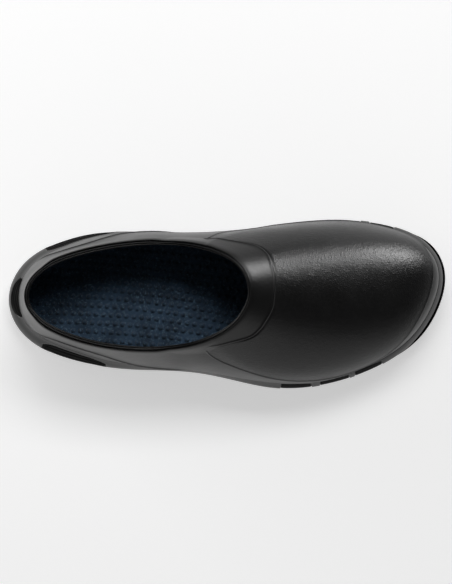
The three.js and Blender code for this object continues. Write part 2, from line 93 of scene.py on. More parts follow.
# The same ribs above the sole. along, across and height place the collar's outer edge, as shares of length,
# ball width and instep height. A rib leaves the sole leaning out by lean degrees and reaches the collar
# climbing at slope degrees; rise and reach, shares of the rib's chord, say how long it keeps to each.
COLLAR_RIBS = (
    ("along", "across", "height", "lean", "rise", "slope", "reach"),
    (
        (0.055, 0.0, 0.88, 2, 0.36, 84, 0.34),  # heel centre
        (0.078, -0.153, 0.865, 2, 0.36, 83, 0.34),
        (0.165, -0.272, 0.825, 0, 0.36, 82, 0.34),  # heel, lateral
        (0.283, -0.331, 0.78, -2, 0.36, 78, 0.34),
        (0.395, -0.324, 0.79, -3, 0.36, 68, 0.36),  # waist, lateral
        (0.472, -0.266, 0.862, 0, 0.37, 50, 0.4),
        (0.519, -0.189, 0.925, -1, 0.31, 38, 0.42),  # ball, lateral
        (0.543, -0.108, 0.968, -5, 0.26, 31, 0.43),
        (0.554, -0.03, 0.99, -8, 0.23, 28, 0.44),
        (0.553, 0.041, 1.0, -9, 0.215, 27, 0.45),  # toe tip
        (0.545, 0.105, 0.992, -9, 0.225, 28, 0.44),
        (0.528, 0.166, 0.97, -9, 0.255, 32, 0.43),
        (0.498, 0.223, 0.928, -7, 0.31, 41, 0.41),  # ball, medial
        (0.449, 0.271, 0.865, -5, 0.36, 53, 0.38),
        (0.38, 0.302, 0.8, -3, 0.36, 68, 0.36),  # arch
        (0.275, 0.292, 0.785, -2, 0.36, 77, 0.34),
        (0.164, 0.231, 0.825, 0, 0.36, 81, 0.34),  # heel, medial
        (0.088, 0.136, 0.865, 2, 0.36, 83, 0.34),
    ),
)

# Lines drawn on the shell, through places (rib, share of the rib from sole to collar). The two sweeps edge
# the heel panels. The vamp's edge and the throat meet in a point on either side and frame the vamp panel.
SWEEP_LATERAL = (
    (0.85, 0.07), (1.1, 0.2), (1.66, 0.54), (2.13, 0.58), (2.56, 0.49), (2.94, 0.27), (3.25, 0.11),
    (4.0, 0.02),
)
SWEEP_MEDIAL = (
    (17.0, 0.08), (16.75, 0.3), (16.3, 0.6), (15.81, 0.66), (15.47, 0.6), (15.12, 0.45), (14.6, 0.17),
    (14.0, 0.03),
)
VAMP_EDGE = (
    (4.55, 0.87), (4.53, 0.78), (4.57, 0.67), (4.66, 0.57), (4.78, 0.475), (4.92, 0.385), (5.07, 0.3),
    (5.22, 0.235), (5.4, 0.185), (5.6, 0.145), (5.8, 0.115), (6.1, 0.09), (6.5, 0.075), (7.0, 0.075),
    (7.35, 0.09), (7.7, 0.11), (8.1, 0.13), (8.6, 0.138), (9.1, 0.13), (9.6, 0.105), (10.05, 0.065),
    (10.5, 0.035), (11.0, 0.022), (12.0, 0.018), (12.5, 0.022), (12.85, 0.04), (13.1, 0.085), (13.25, 0.17),
    (13.34, 0.3), (13.36, 0.45), (13.33, 0.6), (13.27, 0.73), (13.22, 0.83),
)
THROAT = (
    (4.55, 0.87), (4.77, 0.918), (5.35, 0.903), (5.95, 0.872), (6.47, 0.876), (6.96, 0.887), (7.71, 0.895),
    (8.63, 0.905), (10.06, 0.89), (11.12, 0.858), (11.6, 0.845), (12.1, 0.85), (12.62, 0.852),
    (13.22, 0.83),
)

# Where mesh rows gather: one run follows the sweeps and the vamp's edge, the other the throat.
LOWER_RUN = (
    (0.0, 0.1), (0.85, 0.12), (1.1, 0.2), (1.66, 0.54), (2.13, 0.58), (2.56, 0.49), (2.94, 0.27),
    (3.25, 0.13), (3.7, 0.12), (4.1, 0.35), (4.45, 0.64), (4.66, 0.57), (4.78, 0.475), (4.92, 0.385),
    (5.07, 0.3), (5.22, 0.235), (5.4, 0.185), (5.8, 0.115), (6.1, 0.09), (6.5, 0.075), (7.0, 0.075),
    (7.35, 0.09), (7.7, 0.11), (8.1, 0.13), (8.6, 0.138), (9.1, 0.13), (9.6, 0.105), (10.05, 0.065),
    (10.5, 0.035), (11.0, 0.022), (12.0, 0.018), (12.5, 0.022), (12.85, 0.04), (13.1, 0.085), (13.3, 0.3),
    (13.6, 0.4), (14.0, 0.2), (14.25, 0.12), (14.6, 0.17), (15.12, 0.45), (15.47, 0.6), (15.81, 0.66),
    (16.3, 0.6), (16.75, 0.3), (17.1, 0.12), (18.0, 0.1),
)
UPPER_RUN = (
    (0.0, 0.82), (2.0, 0.82), (3.5, 0.86), (4.55, 0.885), (4.77, 0.918), (5.35, 0.903), (5.95, 0.872),
    (6.47, 0.876), (6.96, 0.887), (7.71, 0.895), (8.63, 0.905), (10.06, 0.89), (11.12, 0.858),
    (11.6, 0.845), (12.1, 0.85), (12.62, 0.852), (13.22, 0.84), (14.5, 0.86), (16.0, 0.82), (18.0, 0.82),
)

# Grips in the sole's side, from rib to rib, between two shares of the side's height. taper is how much the
# ends narrow and bow how far they rise. slant is how much the upper edge rises towards the last rib. sinks
# says at which end a side grip lies deepest: at the last rib, 1, at the first, -1, or at both, 0.
GRIP_COLUMNS = ("name", "from", "to", "low", "high", "taper", "bow", "slant", "sinks")


def grip_table(*rows):
    return [dict(zip(GRIP_COLUMNS, row)) for row in rows]


HEEL_GRIPS = grip_table(
    ("back", -0.58, 0.56, 0.56, 0.95, 0.6, 0.115, 0.0, 0),
    ("lateral", 1.42, 2.62, 0.16, 0.82, 0.6, 0.0, 0.0, 0),
    ("medial", 15.05, 16.48, 0.16, 0.86, 0.6, 0.0, 0.0, 0),
)
SIDE_GRIPS = grip_table(
    ("lateral_back", 5.18, 5.66, 0.16, 0.93, 0.1, 0.0, -0.12, -1),
    ("lateral_middle", 5.83, 6.33, 0.16, 0.93, 0.1, 0.0, -0.12, -1),
    ("lateral_front", 6.46, 6.98, 0.16, 0.93, 0.1, 0.0, -0.12, -1),
    ("medial_back", 12.2, 12.56, 0.16, 0.94, 0.1, 0.0, 0.0, 0),
    ("medial_middle", 11.62, 12.04, 0.16, 0.94, 0.1, 0.0, 0.0, 0),
    ("medial_front", 11.0, 11.44, 0.16, 0.94, 0.1, 0.0, 0.0, 0),
)


def length(name, description, default):
    return FloatProperty(name=name, description=description, default=default, unit="LENGTH", precision=5)


def share(name, description, default):
    return FloatProperty(name=name, description=description, default=default, subtype="FACTOR", precision=3)


def colour(name, description, default):
    return FloatVectorProperty(name=name, description=description, default=default, subtype="COLOR", size=3)


class ClogForm(bpy.types.PropertyGroup):
    """Main sizes, nearly the same as the packed solids have."""

    length: length("Length", "Heel to toe along the sole's widest line", 0.28968)
    ball_width: length("Ball width", "Width that the plan's shares refer to", 0.11178)
    instep_height: length("Instep height", "Floor to the collar's highest point", 0.090)
    sole_side: length("Sole side", "Tread face to the joint of shell and sole unit, at the heel", 0.027)
    wall: length("Wall", "Thickness of the shell", 0.0036)
    rim_rise: length("Rim rise", "Collar's highest point above its edge's place", 0.0019)
    rim_drop: length("Rim drop", "How far below that place the rim's rounding starts", 0.0017)
    gap: length("Gap", "Room between neighbouring pieces", 0.0003)
    seam: length("Seam", "Room left between shell and sole unit, which are moulded in one", 0.00006)
    cup_ledge: length("Cup ledge", "Edge of the footbed's cup, inside the shell's wall", 0.0006)
    inward_pull: length("Inward pull", "Keeps a steep rib square to the outline", 0.014)
    tread: length("Tread", "Height of the lugs", 0.003)
    plate: length("Plate", "Thickness of the outsole between its lugs", 0.0032)
    heel_bevel: length("Heel bevel", "Lift of the tread at the heel's end", 0.003)
    arch_rise: length("Arch rise", "Lift of the tread under the arch", 0.0032)
    toe_spring: length("Toe spring", "Lift of the tread at the toe", 0.013)
    heel_flat_start: share("Heel flat start", "Share of the length where the heel's flat tread starts", 0.08)
    arch_start: share("Arch start", "Share of the length where the arch starts", 0.27)
    arch_end: share("Arch end", "Share of the length where the arch ends", 0.56)
    spring_start: share("Spring start", "Share of the length where the toe starts to lift", 0.72)
    footbed_heel: length("Footbed at heel", "Tread face to footbed at the heel", 0.0205)
    footbed_ball: length("Footbed at ball", "Tread face to footbed at the ball", 0.0135)
    footbed_toe: length("Footbed at toe", "Tread face to footbed at the toe", 0.0105)
    outsole_inset: length("Outsole inset", "Outsole inside the sole's widest line", 0.0013)
    side_inset: length("Side inset", "Sole unit's lower edge inside its widest line", 0.0024)
    flare: length("Flare", "How far the heel's ledge stands out past the shell", 0.008)
    bumper: length("Bumper", "Room that the toe's rubber lip takes from the sole unit", 0.0023)
    lip_saving: length("Lip saving", "How much thinner than that room the finished lip is", 0.0007)
    bumper_top: length("Bumper top", "Tread face to the lip's upper edge", 0.0105)


class ClogRelief(bpy.types.PropertyGroup):
    """Low relief of the foam."""

    sweep_step: length("Sweep step", "Heel panel up to the band round the collar", 0.0011)
    vamp_step: length("Vamp step", "Side of the shoe up to the vamp panel", 0.0009)
    throat_step: length("Throat step", "Vamp panel up to the band in front of the collar", 0.0008)
    step_width: length("Step width", "Width of each step", 0.0013)
    groove_depth: length("Groove depth", "Depth of the groove along each line", 0.0008)
    groove_width: length("Groove width", "Width of the groove along each line", 0.0017)
    bead_height: length("Bead height", "Height of the bead beside each groove", 0.00055)
    bead_width: length("Bead width", "Width of the bead beside each groove", 0.0018)
    joint_round: length("Joint rounding", "Edges of the groove between shell and sole unit", 0.0004)
    seam_round: length("Seam rounding", "Edges of the same joint where it hardly shows", 0.00006)
    fillet_climb: length("Fillet climb", "Height of the hollow at the foot of the heel's wall", 0.016)
    fillet_reach: length("Fillet reach", "Reach of the same hollow across the heel's ledge", 0.0075)
    lip_depth: length("Lip depth", "Dip of the surface round each grip's pocket", 0.00015)


class ClogGrips(bpy.types.PropertyGroup):
    """Rubber grips let into the sole's side."""

    pocket_depth: length("Pocket depth", "Depth of the pockets", 0.0022)
    below: length("Below", "Grip's face below the sole's side", 0.0003)
    sink: length("Sink", "How much deeper a side grip's upper edge lies", 0.0015)
    rib_height: length("Rib height", "Height of the ribs along a heel grip", 0.0007)
    rib_count: IntProperty(name="Ribs", description="Ribs along a heel grip", default=4, min=1)
    edge_round: length("Edge rounding", "Rounding of a grip's edges", 0.0003)


class ClogTread(bpy.types.PropertyGroup):
    """Lugs of the outsole."""

    across_flats: length("Across flats", "Size of a six-sided lug", 0.018)
    channel: length("Channel", "Room between lugs", 0.0045)
    margin: length("Margin", "Lugs' edge inside the outsole's", 0.0008)
    edge_round: length("Edge rounding", "Rounding of a lug's edges", 0.0005)
    dish_inset: length("Dish inset", "Rim left round the dish in each lug", 0.0032)
    dish_depth: length("Dish depth", "Depth of the dish in each lug", 0.0009)


class ClogInsole(bpy.types.PropertyGroup):
    """Loose insole."""

    thickness: length("Thickness", "Insole's thickness", 0.0045)
    roll: length("Roll", "How far the border turns up", 0.0016)
    border: length("Border", "Width of the border that turns up", 0.006)
    rounding: length("Rounding", "Rounding of the insole's edges", 0.001)
    nub_width: length("Nub width", "Width of a nub", 0.0034)
    nub_height: length("Nub height", "Height of a nub", 0.0021)
    nub_pitch: length("Nub pitch", "Nubs' spacing along a row", 0.0050)
    row_pitch: length("Row pitch", "Spacing of the rows", 0.0055)
    row_wave: length("Row wave", "How far the rows wander sideways", 0.0005)
    row_drop: share("Row drop", "How much the rows turn outwards, from heel to toe", 0.17)


class ClogColours(bpy.types.PropertyGroup):
    """Colours of the finishes."""

    foam: colour("Foam", "Moulded foam", (0.0024, 0.0024, 0.0025))
    rubber: colour("Rubber", "Outsole and grips", (0.0015, 0.0015, 0.0016))
    cloth: colour("Cloth", "Insole's ground colour", (0.036, 0.070, 0.118))
    fleck: colour("Fleck", "Pale flecks in the insole", (0.26, 0.42, 0.55))
    floor: colour("Floor", "Studio floor", (0.75, 0.75, 0.75))


class ClogStage(bpy.types.PropertyGroup):
    """Camera and light."""

    distance: length("Distance", "Camera to shoe", 1.7)
    elevation: FloatProperty(
        name="Elevation",
        description="Camera above the floor, seen from the shoe",
        default=math.radians(87),
        subtype="ANGLE",
    )
    focal_pixels: FloatProperty(
        name="Focal length", description="In pixels of a picture 584 pixels high", default=2586
    )
    aim_x: length("Aim along", "Point in the picture's middle, along the shoe", -0.0003)
    aim_y: length("Aim across", "Point in the picture's middle, across the shoe", 0.0070)
    aim_z: length("Aim height", "Point in the picture's middle, above the floor", 0.030)


PICTURE_HEIGHT = 584  # pixels
SENSOR = 36.0  # millimetres, along the picture's height


class RibTable:
    """Columns of numbers read at any place round the closed loop of ribs, through a cubic spline."""

    def __init__(self, names, rows):
        values = np.array(rows, float)
        self.count = n = len(values)
        bends = 4 * np.eye(n) + np.roll(np.eye(n), 1, axis=1) + np.roll(np.eye(n), -1, axis=1)
        pull = 6 * (np.roll(values, -1, axis=0) - 2 * values + np.roll(values, 1, axis=0))
        self.values = dict(zip(names, values.T))
        self.bends = dict(zip(names, np.linalg.solve(bends, pull).T))

    def read(self, name, u):
        place = np.mod(u, self.count)
        i = np.floor(place).astype(int) % self.count
        j = (i + 1) % self.count
        f = place - np.floor(place)
        g = 1 - f
        value, bend = self.values[name], self.bends[name]
        return g * value[i] + f * value[j] + ((g**3 - g) * bend[i] + (f**3 - f) * bend[j]) / 6


def clamp01(x):
    return np.clip(x, 0, 1)


def ease(x):
    return clamp01(x) ** 2 * (3 - 2 * clamp01(x))


def blend(a, b, share_of_b):
    return a + (b - a) * share_of_b


def column(x):
    """Makes numbers ready to multiply vectors."""
    return np.asarray(x)[..., None]


def size_of(vectors):
    return np.linalg.norm(vectors, axis=-1)


def unit(vectors):
    return vectors / column(size_of(vectors))


def hump(x, width):
    """A smooth hump, 1 at x 0 and a ninth half a width away."""
    return np.exp(-((x / (0.5 * width)) ** 2) * 2.2)


def bezier(a, b, c, d, t):
    t = column(t)
    return a * (1 - t) ** 3 + b * 3 * t * (1 - t) ** 2 + c * 3 * t**2 * (1 - t) + d * t**3


def smooth_run(places, u):
    """Reads a run of places (u, t) at any u, through a smooth curve that doesn't overshoot."""
    at, value = np.array(places, float).T
    rise = np.diff(value) / np.diff(at)
    slope = np.zeros(len(at))
    same_way = rise[:-1] * rise[1:] > 0
    both = np.where(same_way, rise[:-1] + rise[1:], 1)
    slope[1:-1] = np.where(same_way, 2 * rise[:-1] * rise[1:] / both, 0)
    i = np.clip(np.searchsorted(at, u, side="right") - 1, 0, len(at) - 2)
    span = at[i + 1] - at[i]
    f = (u - at[i]) / span
    keep, turn = (1 + 2 * f) * (1 - f) ** 2, f * (1 - f) ** 2
    tilt = turn * slope[i] - f**2 * (1 - f) * slope[i + 1]
    return keep * value[i] + (1 - keep) * value[i + 1] + span * tilt


def drawn_line(places, steps=14):
    """A smooth line through places (u, t), as steps points from each place to the next."""
    at = np.array(places, float)
    before = np.vstack([2 * at[0] - at[1], at[:-1]])
    after = np.vstack([at[1:], 2 * at[-1] - at[-2]])
    way = (after - before) / 2
    f = np.linspace(0, 1, steps, endpoint=False)[:, None]
    pieces = []
    for i in range(len(at) - 1):
        h = (2 * f**3 - 3 * f**2 + 1) * at[i] + (3 * f**2 - 2 * f**3) * at[i + 1]
        pieces.append(h + (f**3 - 2 * f**2 + f) * way[i] + (f**3 - f**2) * way[i + 1])
    return np.vstack([*pieces, at[-1:]])


def inside_loop(u, t, loop):
    """Whether each place (u, t) lies inside a closed loop of places."""
    inside = np.zeros(u.shape, bool)
    for (u0, t0), (u1, t1) in zip(loop, np.roll(loop, -1, axis=0)):
        if t0 != t1:
            crosses = (t0 > t) != (t1 > t)
            inside ^= crosses & (u < u0 + (u1 - u0) * (t - t0) / (t1 - t0))
    return inside


def distance_to(points, line):
    """Distance of each point from a line of points."""
    nearest = np.full(points.shape[:-1], np.inf)
    for a, b in zip(line[:-1], line[1:]):
        way = b - a
        along = clamp01(((points - a) @ way) / (way @ way))
        nearest = np.minimum(nearest, size_of(points - a - column(along) * way))
    return nearest


SPRING_POWER = 1.8  # how late the toe's lift sets in
SIDE_BULGE = 2  # pull of the sole side's curve out to its widest line, in side insets
SIDE_BELLY = 0.3  # share of the side's height at which that pull acts
SIDE_SHOULDER = 0.42  # share of the way back from the joint at which the side turns in


class Last:
    """The clog's form. A place on it is a rib number u and a share t of the way up."""

    def __init__(self, scene):
        self.form = scene.clog_form
        self.relief = scene.clog_relief
        self.grips = scene.clog_grips
        self.sole = RibTable(*SOLE_RIBS)
        self.collar = RibTable(*COLLAR_RIBS)
        lowest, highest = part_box("insole")
        rim = self.insole_edge(self.ring(SOLID_COLUMNS), 0)
        self.shift = (np.array(lowest) + np.array(highest) - rim.min(axis=0) - rim.max(axis=0)) / 2
        self.shift[2] = 0

    def ring(self, columns):
        return np.arange(columns) * self.sole.count / columns

    def lift(self, x):
        """Height of the tread face above the floor."""
        form = self.form
        along = x / form.length
        heel = form.heel_bevel * clamp01((form.heel_flat_start - along) / form.heel_flat_start) ** 2
        arch_share = clamp01((along - form.arch_start) / (form.arch_end - form.arch_start))
        toe_share = clamp01((along - form.spring_start) / (1 - form.spring_start))
        toe = form.toe_spring * toe_share**SPRING_POWER
        return heel + form.arch_rise * np.sin(math.pi * arch_share) ** 2 + toe

    def footbed(self, x):
        form = self.form
        along = x / form.length
        to_ball = ease((along - form.arch_start) / (form.spring_start - form.arch_start))
        to_toe = ease((along - form.spring_start) / (1 - form.spring_start))
        thickness = blend(blend(form.footbed_heel, form.footbed_ball, to_ball), form.footbed_toe, to_toe)
        return self.lift(x) + thickness

    def outline_point(self, u):
        along = self.sole.read("along", u) * self.form.length
        return np.stack([along, self.sole.read("across", u) * self.form.ball_width, 0 * along], axis=-1)

    def outward(self, u):
        way = unit(self.outline_point(u + PROBE) - self.outline_point(u - PROBE))
        return np.cross(way, UP)

    def outline(self, u, inset):
        """Plan outline of the sole's widest line, moved in by inset."""
        return self.outline_point(u) - self.outward(u) * column(inset)

    def bumper_inset(self, u):
        return (self.form.bumper - self.form.lip_saving) * clamp01(self.sole.read("bumper", u))

    def joint(self, u):
        """Where shell and sole unit meet, on the outside."""
        flare = np.maximum(0, self.sole.read("flare", u)) * self.form.flare
        point = self.outline(u, flare + self.bumper_inset(u))
        point[..., 2] = self.lift(point[..., 0]) + self.sole.read("edge", u) * self.form.sole_side
        return point

    def side_point(self, u, v):
        """The sole unit's side, from its lower edge at v 0 to the joint at v 1."""
        form = self.form
        top = self.joint(u)
        low = self.outline(u, self.bumper_inset(u) + form.side_inset)
        low[..., 2] = self.lift(low[..., 0]) + form.tread + form.plate + form.gap
        belly = low + self.outward(u) * SIDE_BULGE * form.side_inset
        belly[..., 2] += SIDE_BELLY * (top[..., 2] - low[..., 2])
        return bezier(low, belly, blend(top, belly, SIDE_SHOULDER), top, v)

    def collar_edge(self, u):
        form, collar = self.form, self.collar
        along = collar.read("along", u) * form.length
        across = collar.read("across", u) * form.ball_width
        return np.stack([along, across, collar.read("height", u) * form.instep_height], axis=-1)

    def chord(self, u):
        return size_of(self.collar_edge(u) - self.joint(u))

    def rib_point(self, u, t):
        """The shell's outer form before its relief, from the joint at t 0 to the collar's edge at t 1."""
        foot, edge, outward = self.joint(u), self.collar_edge(u), self.outward(u)
        lean = np.radians(self.collar.read("lean", u))
        slope = np.radians(self.collar.read("slope", u))
        rise = column(self.collar.read("rise", u) * size_of(edge - foot))
        reach = column(self.collar.read("reach", u) * size_of(edge - foot))
        inward = unit((edge - foot) * (1, 1, 0) - outward * self.form.inward_pull)
        start = foot + (outward * column(np.sin(lean)) + UP * column(np.cos(lean))) * rise
        end = edge - (inward * column(np.cos(slope)) + UP * column(np.sin(slope))) * reach
        return bezier(foot, start, end, edge, t)

    def normal(self, surface, u, t):
        round_way = surface(u + PROBE, t) - surface(u - PROBE, t)
        up_way = surface(u, np.minimum(1, t + PROBE)) - surface(u, np.maximum(0, t - PROBE))
        return unit(np.cross(round_way, up_way))

    def insole_edge(self, u, inset):
        form = self.form
        saving = form.lip_saving * clamp01(self.sole.read("bumper", u))
        inside = form.wall + form.cup_ledge + form.gap + saving + inset
        point = self.joint(u) - self.outward(u) * column(inside)
        point[..., 2] = self.footbed(point[..., 0]) + form.gap
        return point

    def groove_share(self, u):
        """1 round the toe, where the joint of shell and sole unit is a groove, and 0 elsewhere."""
        return ease((u - 5.9) / 0.8) * ease((11.9 - u) / 0.7)

    def joint_round(self, u):
        return blend(self.relief.seam_round, self.relief.joint_round, self.groove_share(u))

    def fillet(self, u, points, reach):
        """Fills the hollow at the foot of the heel's wall, for points within reach of the joint."""
        wall = self.normal(self.rib_point, u, np.zeros_like(u))
        side = self.normal(self.side_point, u, np.ones_like(u))
        corner = np.arccos(np.clip(np.sum(wall * side, axis=-1), -1, 1))
        depth = self.relief.fillet_reach * np.tan(corner / 2) / 2 * (1 - self.groove_share(u))
        near = clamp01(1 - size_of(points - self.joint(u)) / reach) ** 2
        return unit(wall + side) * column(depth * near)


def rows_to_centre(edge, shares, height):
    """Rows from a ring's edge at share 1 to its middle line at share 0, laid on the surface height(x)."""
    mirror = np.roll(edge[::-1], 1, axis=0)
    middle = (edge + mirror) / 2
    rows = [middle + (edge - middle) * s for s in shares]
    for row in rows:
        row[:, 2] = height(row[:, 0])
    return rows


def deselect_all():
    bpy.ops.object.select_all(action="DESELECT")


def rolled_grid(name, rows, shift, **attributes):
    """A grid primitive rolled up round the shoe: its vertices go to rows of points, its seams are merged."""
    rows = np.asarray(rows)
    row_count, column_count = rows.shape[:2]
    deselect_all()
    bpy.ops.mesh.primitive_grid_add(x_subdivisions=column_count, y_subdivisions=row_count - 1, size=1)
    piece = bpy.context.object
    piece.name = piece.data.name = name
    mesh = piece.data
    closed = np.concatenate([rows, rows[:, :1]], axis=1) + shift
    mesh.vertices.foreach_set("co", closed.astype(np.float32).ravel())
    for layer, values in attributes.items():
        values = np.asarray(values)
        closed_values = np.concatenate([values, values[:, :1]], axis=1).astype(np.float32)
        mesh.attributes.new(layer, "FLOAT", "POINT").data.foreach_set("value", closed_values.ravel())
    bpy.ops.object.mode_set(mode="EDIT")
    bpy.ops.mesh.select_all(action="SELECT")
    bpy.ops.mesh.remove_doubles(threshold=1e-6)
    bpy.ops.object.mode_set(mode="OBJECT")
    while mesh.uv_layers:
        mesh.uv_layers.remove(mesh.uv_layers[0])
    bpy.ops.object.shade_smooth()
    return piece


def apply_modifier(piece, kind, **settings):
    bpy.context.view_layer.objects.active = piece
    modifier = piece.modifiers.new(kind.title(), kind)
    for key, value in settings.items():
        setattr(modifier, key, value)
    bpy.ops.object.modifier_apply(modifier=modifier.name)


def round_edges(piece, width, segments, sharper_than):
    """Rounds the edges that turn by more than some degrees."""
    limit = math.radians(sharper_than)
    apply_modifier(piece, "BEVEL", width=width, segments=segments, limit_method="ANGLE", angle_limit=limit)


def settle(piece, material, slot, *nodes):
    """Gives a finished piece its material, hides the packed parts it stands for, hangs it under the root
    body.
    """
    piece.data.materials.clear()
    piece.data.materials.append(material)
    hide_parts(*nodes)
    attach(piece, "root")


class NodeTree:
    """A node tree under construction, with short calls that add nodes."""

    def __init__(self, tree):
        self.tree = tree

    def put(self, socket, value):
        if isinstance(value, bpy.types.NodeSocket):
            self.tree.links.new(value, socket)
        else:
            socket.default_value = value

    def node(self, kind, settings=(), **inputs):
        made = self.tree.nodes.new("ShaderNode" + kind)
        for key, value in dict(settings).items():
            setattr(made, key, value)
        for key, value in inputs.items():
            name = key.replace("_", " ").title()
            self.put(next(s for s in made.inputs if s.name.title() == name and s.enabled), value)
        return made

    def math(self, operation, a, b=0.0):
        made = self.tree.nodes.new("ShaderNodeMath")
        made.operation = operation
        self.put(made.inputs[0], a)
        self.put(made.inputs[1], b)
        return made.outputs[0]

    def span(self, value, low, high, to_low, to_high):
        made = self.node("MapRange", value=value, from_min=low, from_max=high, to_min=to_low, to_max=to_high)
        return made.outputs["Result"]


class Finish(NodeTree):
    """A material under construction."""

    def __init__(self, name):
        self.material = bpy.data.materials.new(name)
        self.material.use_nodes = True
        super().__init__(self.material.node_tree)
        self.shader = self.tree.nodes["Principled BSDF"]
        self.place = self.node("TexCoord").outputs["Object"]

    def noise(self, scale, detail=2.0, roughness=0.5):
        made = self.node("TexNoise", vector=self.place, scale=scale, detail=detail, roughness=roughness)
        return made.outputs["Fac"]

    def mix(self, share_of_b, a, b):
        made = self.node("Mix", {"data_type": "RGBA"})
        self.put(made.inputs["Factor"], share_of_b)
        for socket, value in ((made.inputs[6], a), (made.inputs[7], b)):
            self.put(socket, value if isinstance(value, bpy.types.NodeSocket) else (*value, 1.0))
        return made.outputs[2]

    def attribute(self, name):
        return self.node("Attribute", {"attribute_name": name}).outputs["Fac"]

    def bump(self, height, distance, before=None):
        made = self.node("Bump", height=height, distance=distance)
        if before:
            self.put(made.inputs["Normal"], before)
        return made.outputs["Normal"]

    def done(self, colour, roughness, normal, constants):
        self.put(self.shader.inputs["Base Color"], colour)
        self.put(self.shader.inputs["Roughness"], roughness)
        self.put(self.shader.inputs["Normal"], normal)
        for key, value in constants.items():
            self.shader.inputs[key].default_value = value
        return self.material


def times(factor, colour):
    return tuple(factor * channel for channel in colour)


def foam_finish(colours):
    """Satin black moulded foam, pebbled like leather where the attribute grain is 1, else nearly smooth."""
    finish = Finish("moulded_foam")
    grain = finish.attribute("grain")
    cloudy = finish.noise(45, detail=3)
    wander = finish.noise(420, detail=2)
    cells = finish.node("TexVoronoi", {"feature": "DISTANCE_TO_EDGE"}, vector=finish.place, scale=780)
    pebbles = finish.span(cells.outputs["Distance"], 0.0, 0.34, 0.0, 1.0)
    pebble_height = finish.math("MULTIPLY", pebbles, finish.span(wander, 0.3, 0.7, 0.4, 1.0))
    fine = finish.noise(2600, detail=2)
    pebbled = finish.bump(finish.math("MULTIPLY", pebble_height, grain), 0.00009)
    waved = finish.bump(wander, 0.00006, pebbled)
    normal = finish.bump(fine, 0.000015, waved)
    clouds = finish.span(cloudy, 0.35, 0.65, 0.0, 1.0)
    base = finish.mix(clouds, times(0.82, colours.foam), times(1.25, colours.foam))
    glossier = finish.math("MULTIPLY", grain, -0.02)
    roughness = finish.math("ADD", finish.span(cloudy, 0.3, 0.7, 0.33, 0.39), glossier)
    return finish.done(base, roughness, normal, {"Specular IOR Level": 0.38})


def rubber_finish(colours):
    """Matt black rubber with a dusty bloom."""
    finish = Finish("black_rubber")
    cloudy = finish.noise(60, detail=3)
    fine = finish.noise(1800, detail=3)
    base = finish.mix(finish.span(cloudy, 0.4, 0.7, 0.0, 1.0), colours.rubber, times(1.5, colours.rubber))
    roughness = finish.span(fine, 0.3, 0.7, 0.62, 0.78)
    return finish.done(base, roughness, finish.bump(fine, 0.00004), {"Specular IOR Level": 0.13})


def cloth_finish(colours):
    """Dark blue insole cloth: a slanting weave with pale flecks, and painted shade round the foot of each
    nub, where the attribute foot is 1.
    """
    finish = Finish("insole_cloth")
    flecks = finish.node("TexVoronoi", {"feature": "F1"}, vector=finish.place, scale=1500)
    pick = finish.node("SeparateColor", color=flecks.outputs["Color"]).outputs["Red"]
    pale = finish.span(pick, 0.72, 0.95, 0.0, 1.0)
    round_fleck = finish.span(flecks.outputs["Distance"], 0.25, 0.55, 1.0, 0.0)
    cloudy = finish.noise(70, detail=3)
    clouds = finish.span(cloudy, 0.35, 0.65, 0.0, 1.0)
    ground = finish.mix(clouds, times(0.7, colours.cloth), times(1.3, colours.cloth))
    turned = finish.node("Mapping", vector=finish.place, rotation=(0, 0, math.radians(52))).outputs[0]
    waves = finish.node("TexWave", {"wave_profile": "SIN"}, vector=turned, scale=300, distortion=1.2)
    ribs = waves.outputs["Fac"]
    woven = finish.mix(finish.span(ribs, 0.2, 0.8, 0.45, 0.0), ground, (0.004, 0.008, 0.014))
    fleck_share = finish.math("MULTIPLY", finish.math("MULTIPLY", pale, round_fleck), 0.7)
    flecked = finish.mix(fleck_share, woven, colours.fleck)
    # Painted shade: the colour goes most of the way to near black round the foot of each nub, where the
    # attribute foot is 1
    base = finish.mix(finish.math("MULTIPLY", finish.attribute("foot"), 0.6), flecked, (0.002, 0.004, 0.008))
    knit = finish.noise(1500, detail=3, roughness=0.65)
    normal = finish.bump(ribs, 0.0002, finish.bump(knit, 0.00014))
    sheen = {"Sheen Weight": 0.15, "Sheen Roughness": 0.5, "Specular IOR Level": 0.25}
    return finish.done(base, 0.85, normal, sheen)


FLOOR_GLOW = 0.5
DIM_START, DIM_END, DIM_SHARE = 0.15, 0.45, 0.6  # where the floor starts and ends to dim, and by how much


def floor_finish(colours):
    """A pale table that glows a little, so that hardly any shadow shows, and dims softly past the toe."""
    finish = Finish("studio_floor")
    spread = finish.noise(3, detail=2)
    pale = finish.mix(spread, times(0.995, colours.floor), colours.floor)
    along = finish.node("SeparateXYZ", vector=finish.place).outputs["X"]
    past_toe = finish.span(along, DIM_START, DIM_END, 0.0, DIM_SHARE)
    glow = finish.math("MULTIPLY", finish.math("SUBTRACT", 1.0, past_toe), FLOOR_GLOW)
    finish.put(finish.shader.inputs["Emission Strength"], glow)
    base = finish.mix(past_toe, pale, times(0.5, colours.floor))
    plain = {"Specular IOR Level": 0.1, "Emission Color": (1, 1, 1, 1)}
    return finish.done(base, 0.9, finish.bump(spread, 0.0001), plain)


FINISHES = {}


def material(make):
    """The finish that make builds, made once."""
    colours = bpy.context.scene.clog_colours
    key = make.__name__
    if key not in FINISHES:
        FINISHES[key] = make(colours)
    return FINISHES[key]


# The shell

SHELL_COLUMNS = 720
BEAK_RIBS = (4.75, 13.3)  # where the vamp panel ends in a point on either side
BEAK_SPAN = 0.38  # mesh columns gather this many ribs round each point
BEAK_CROWDING = 2.2  # times more columns there
LINE_BAND = 2.2 * MM  # mesh rows gather this far to either side of a line
ROWS_BELOW, ROWS_ON_LINE, ROWS_BETWEEN, ROWS_ABOVE = 8, 11, 50, 8
LEAST_SHARE = 0.002  # rows of a line stay this share of the rib above the joint's rounding
TOP_SHARE = 0.97  # and below this share of the rib

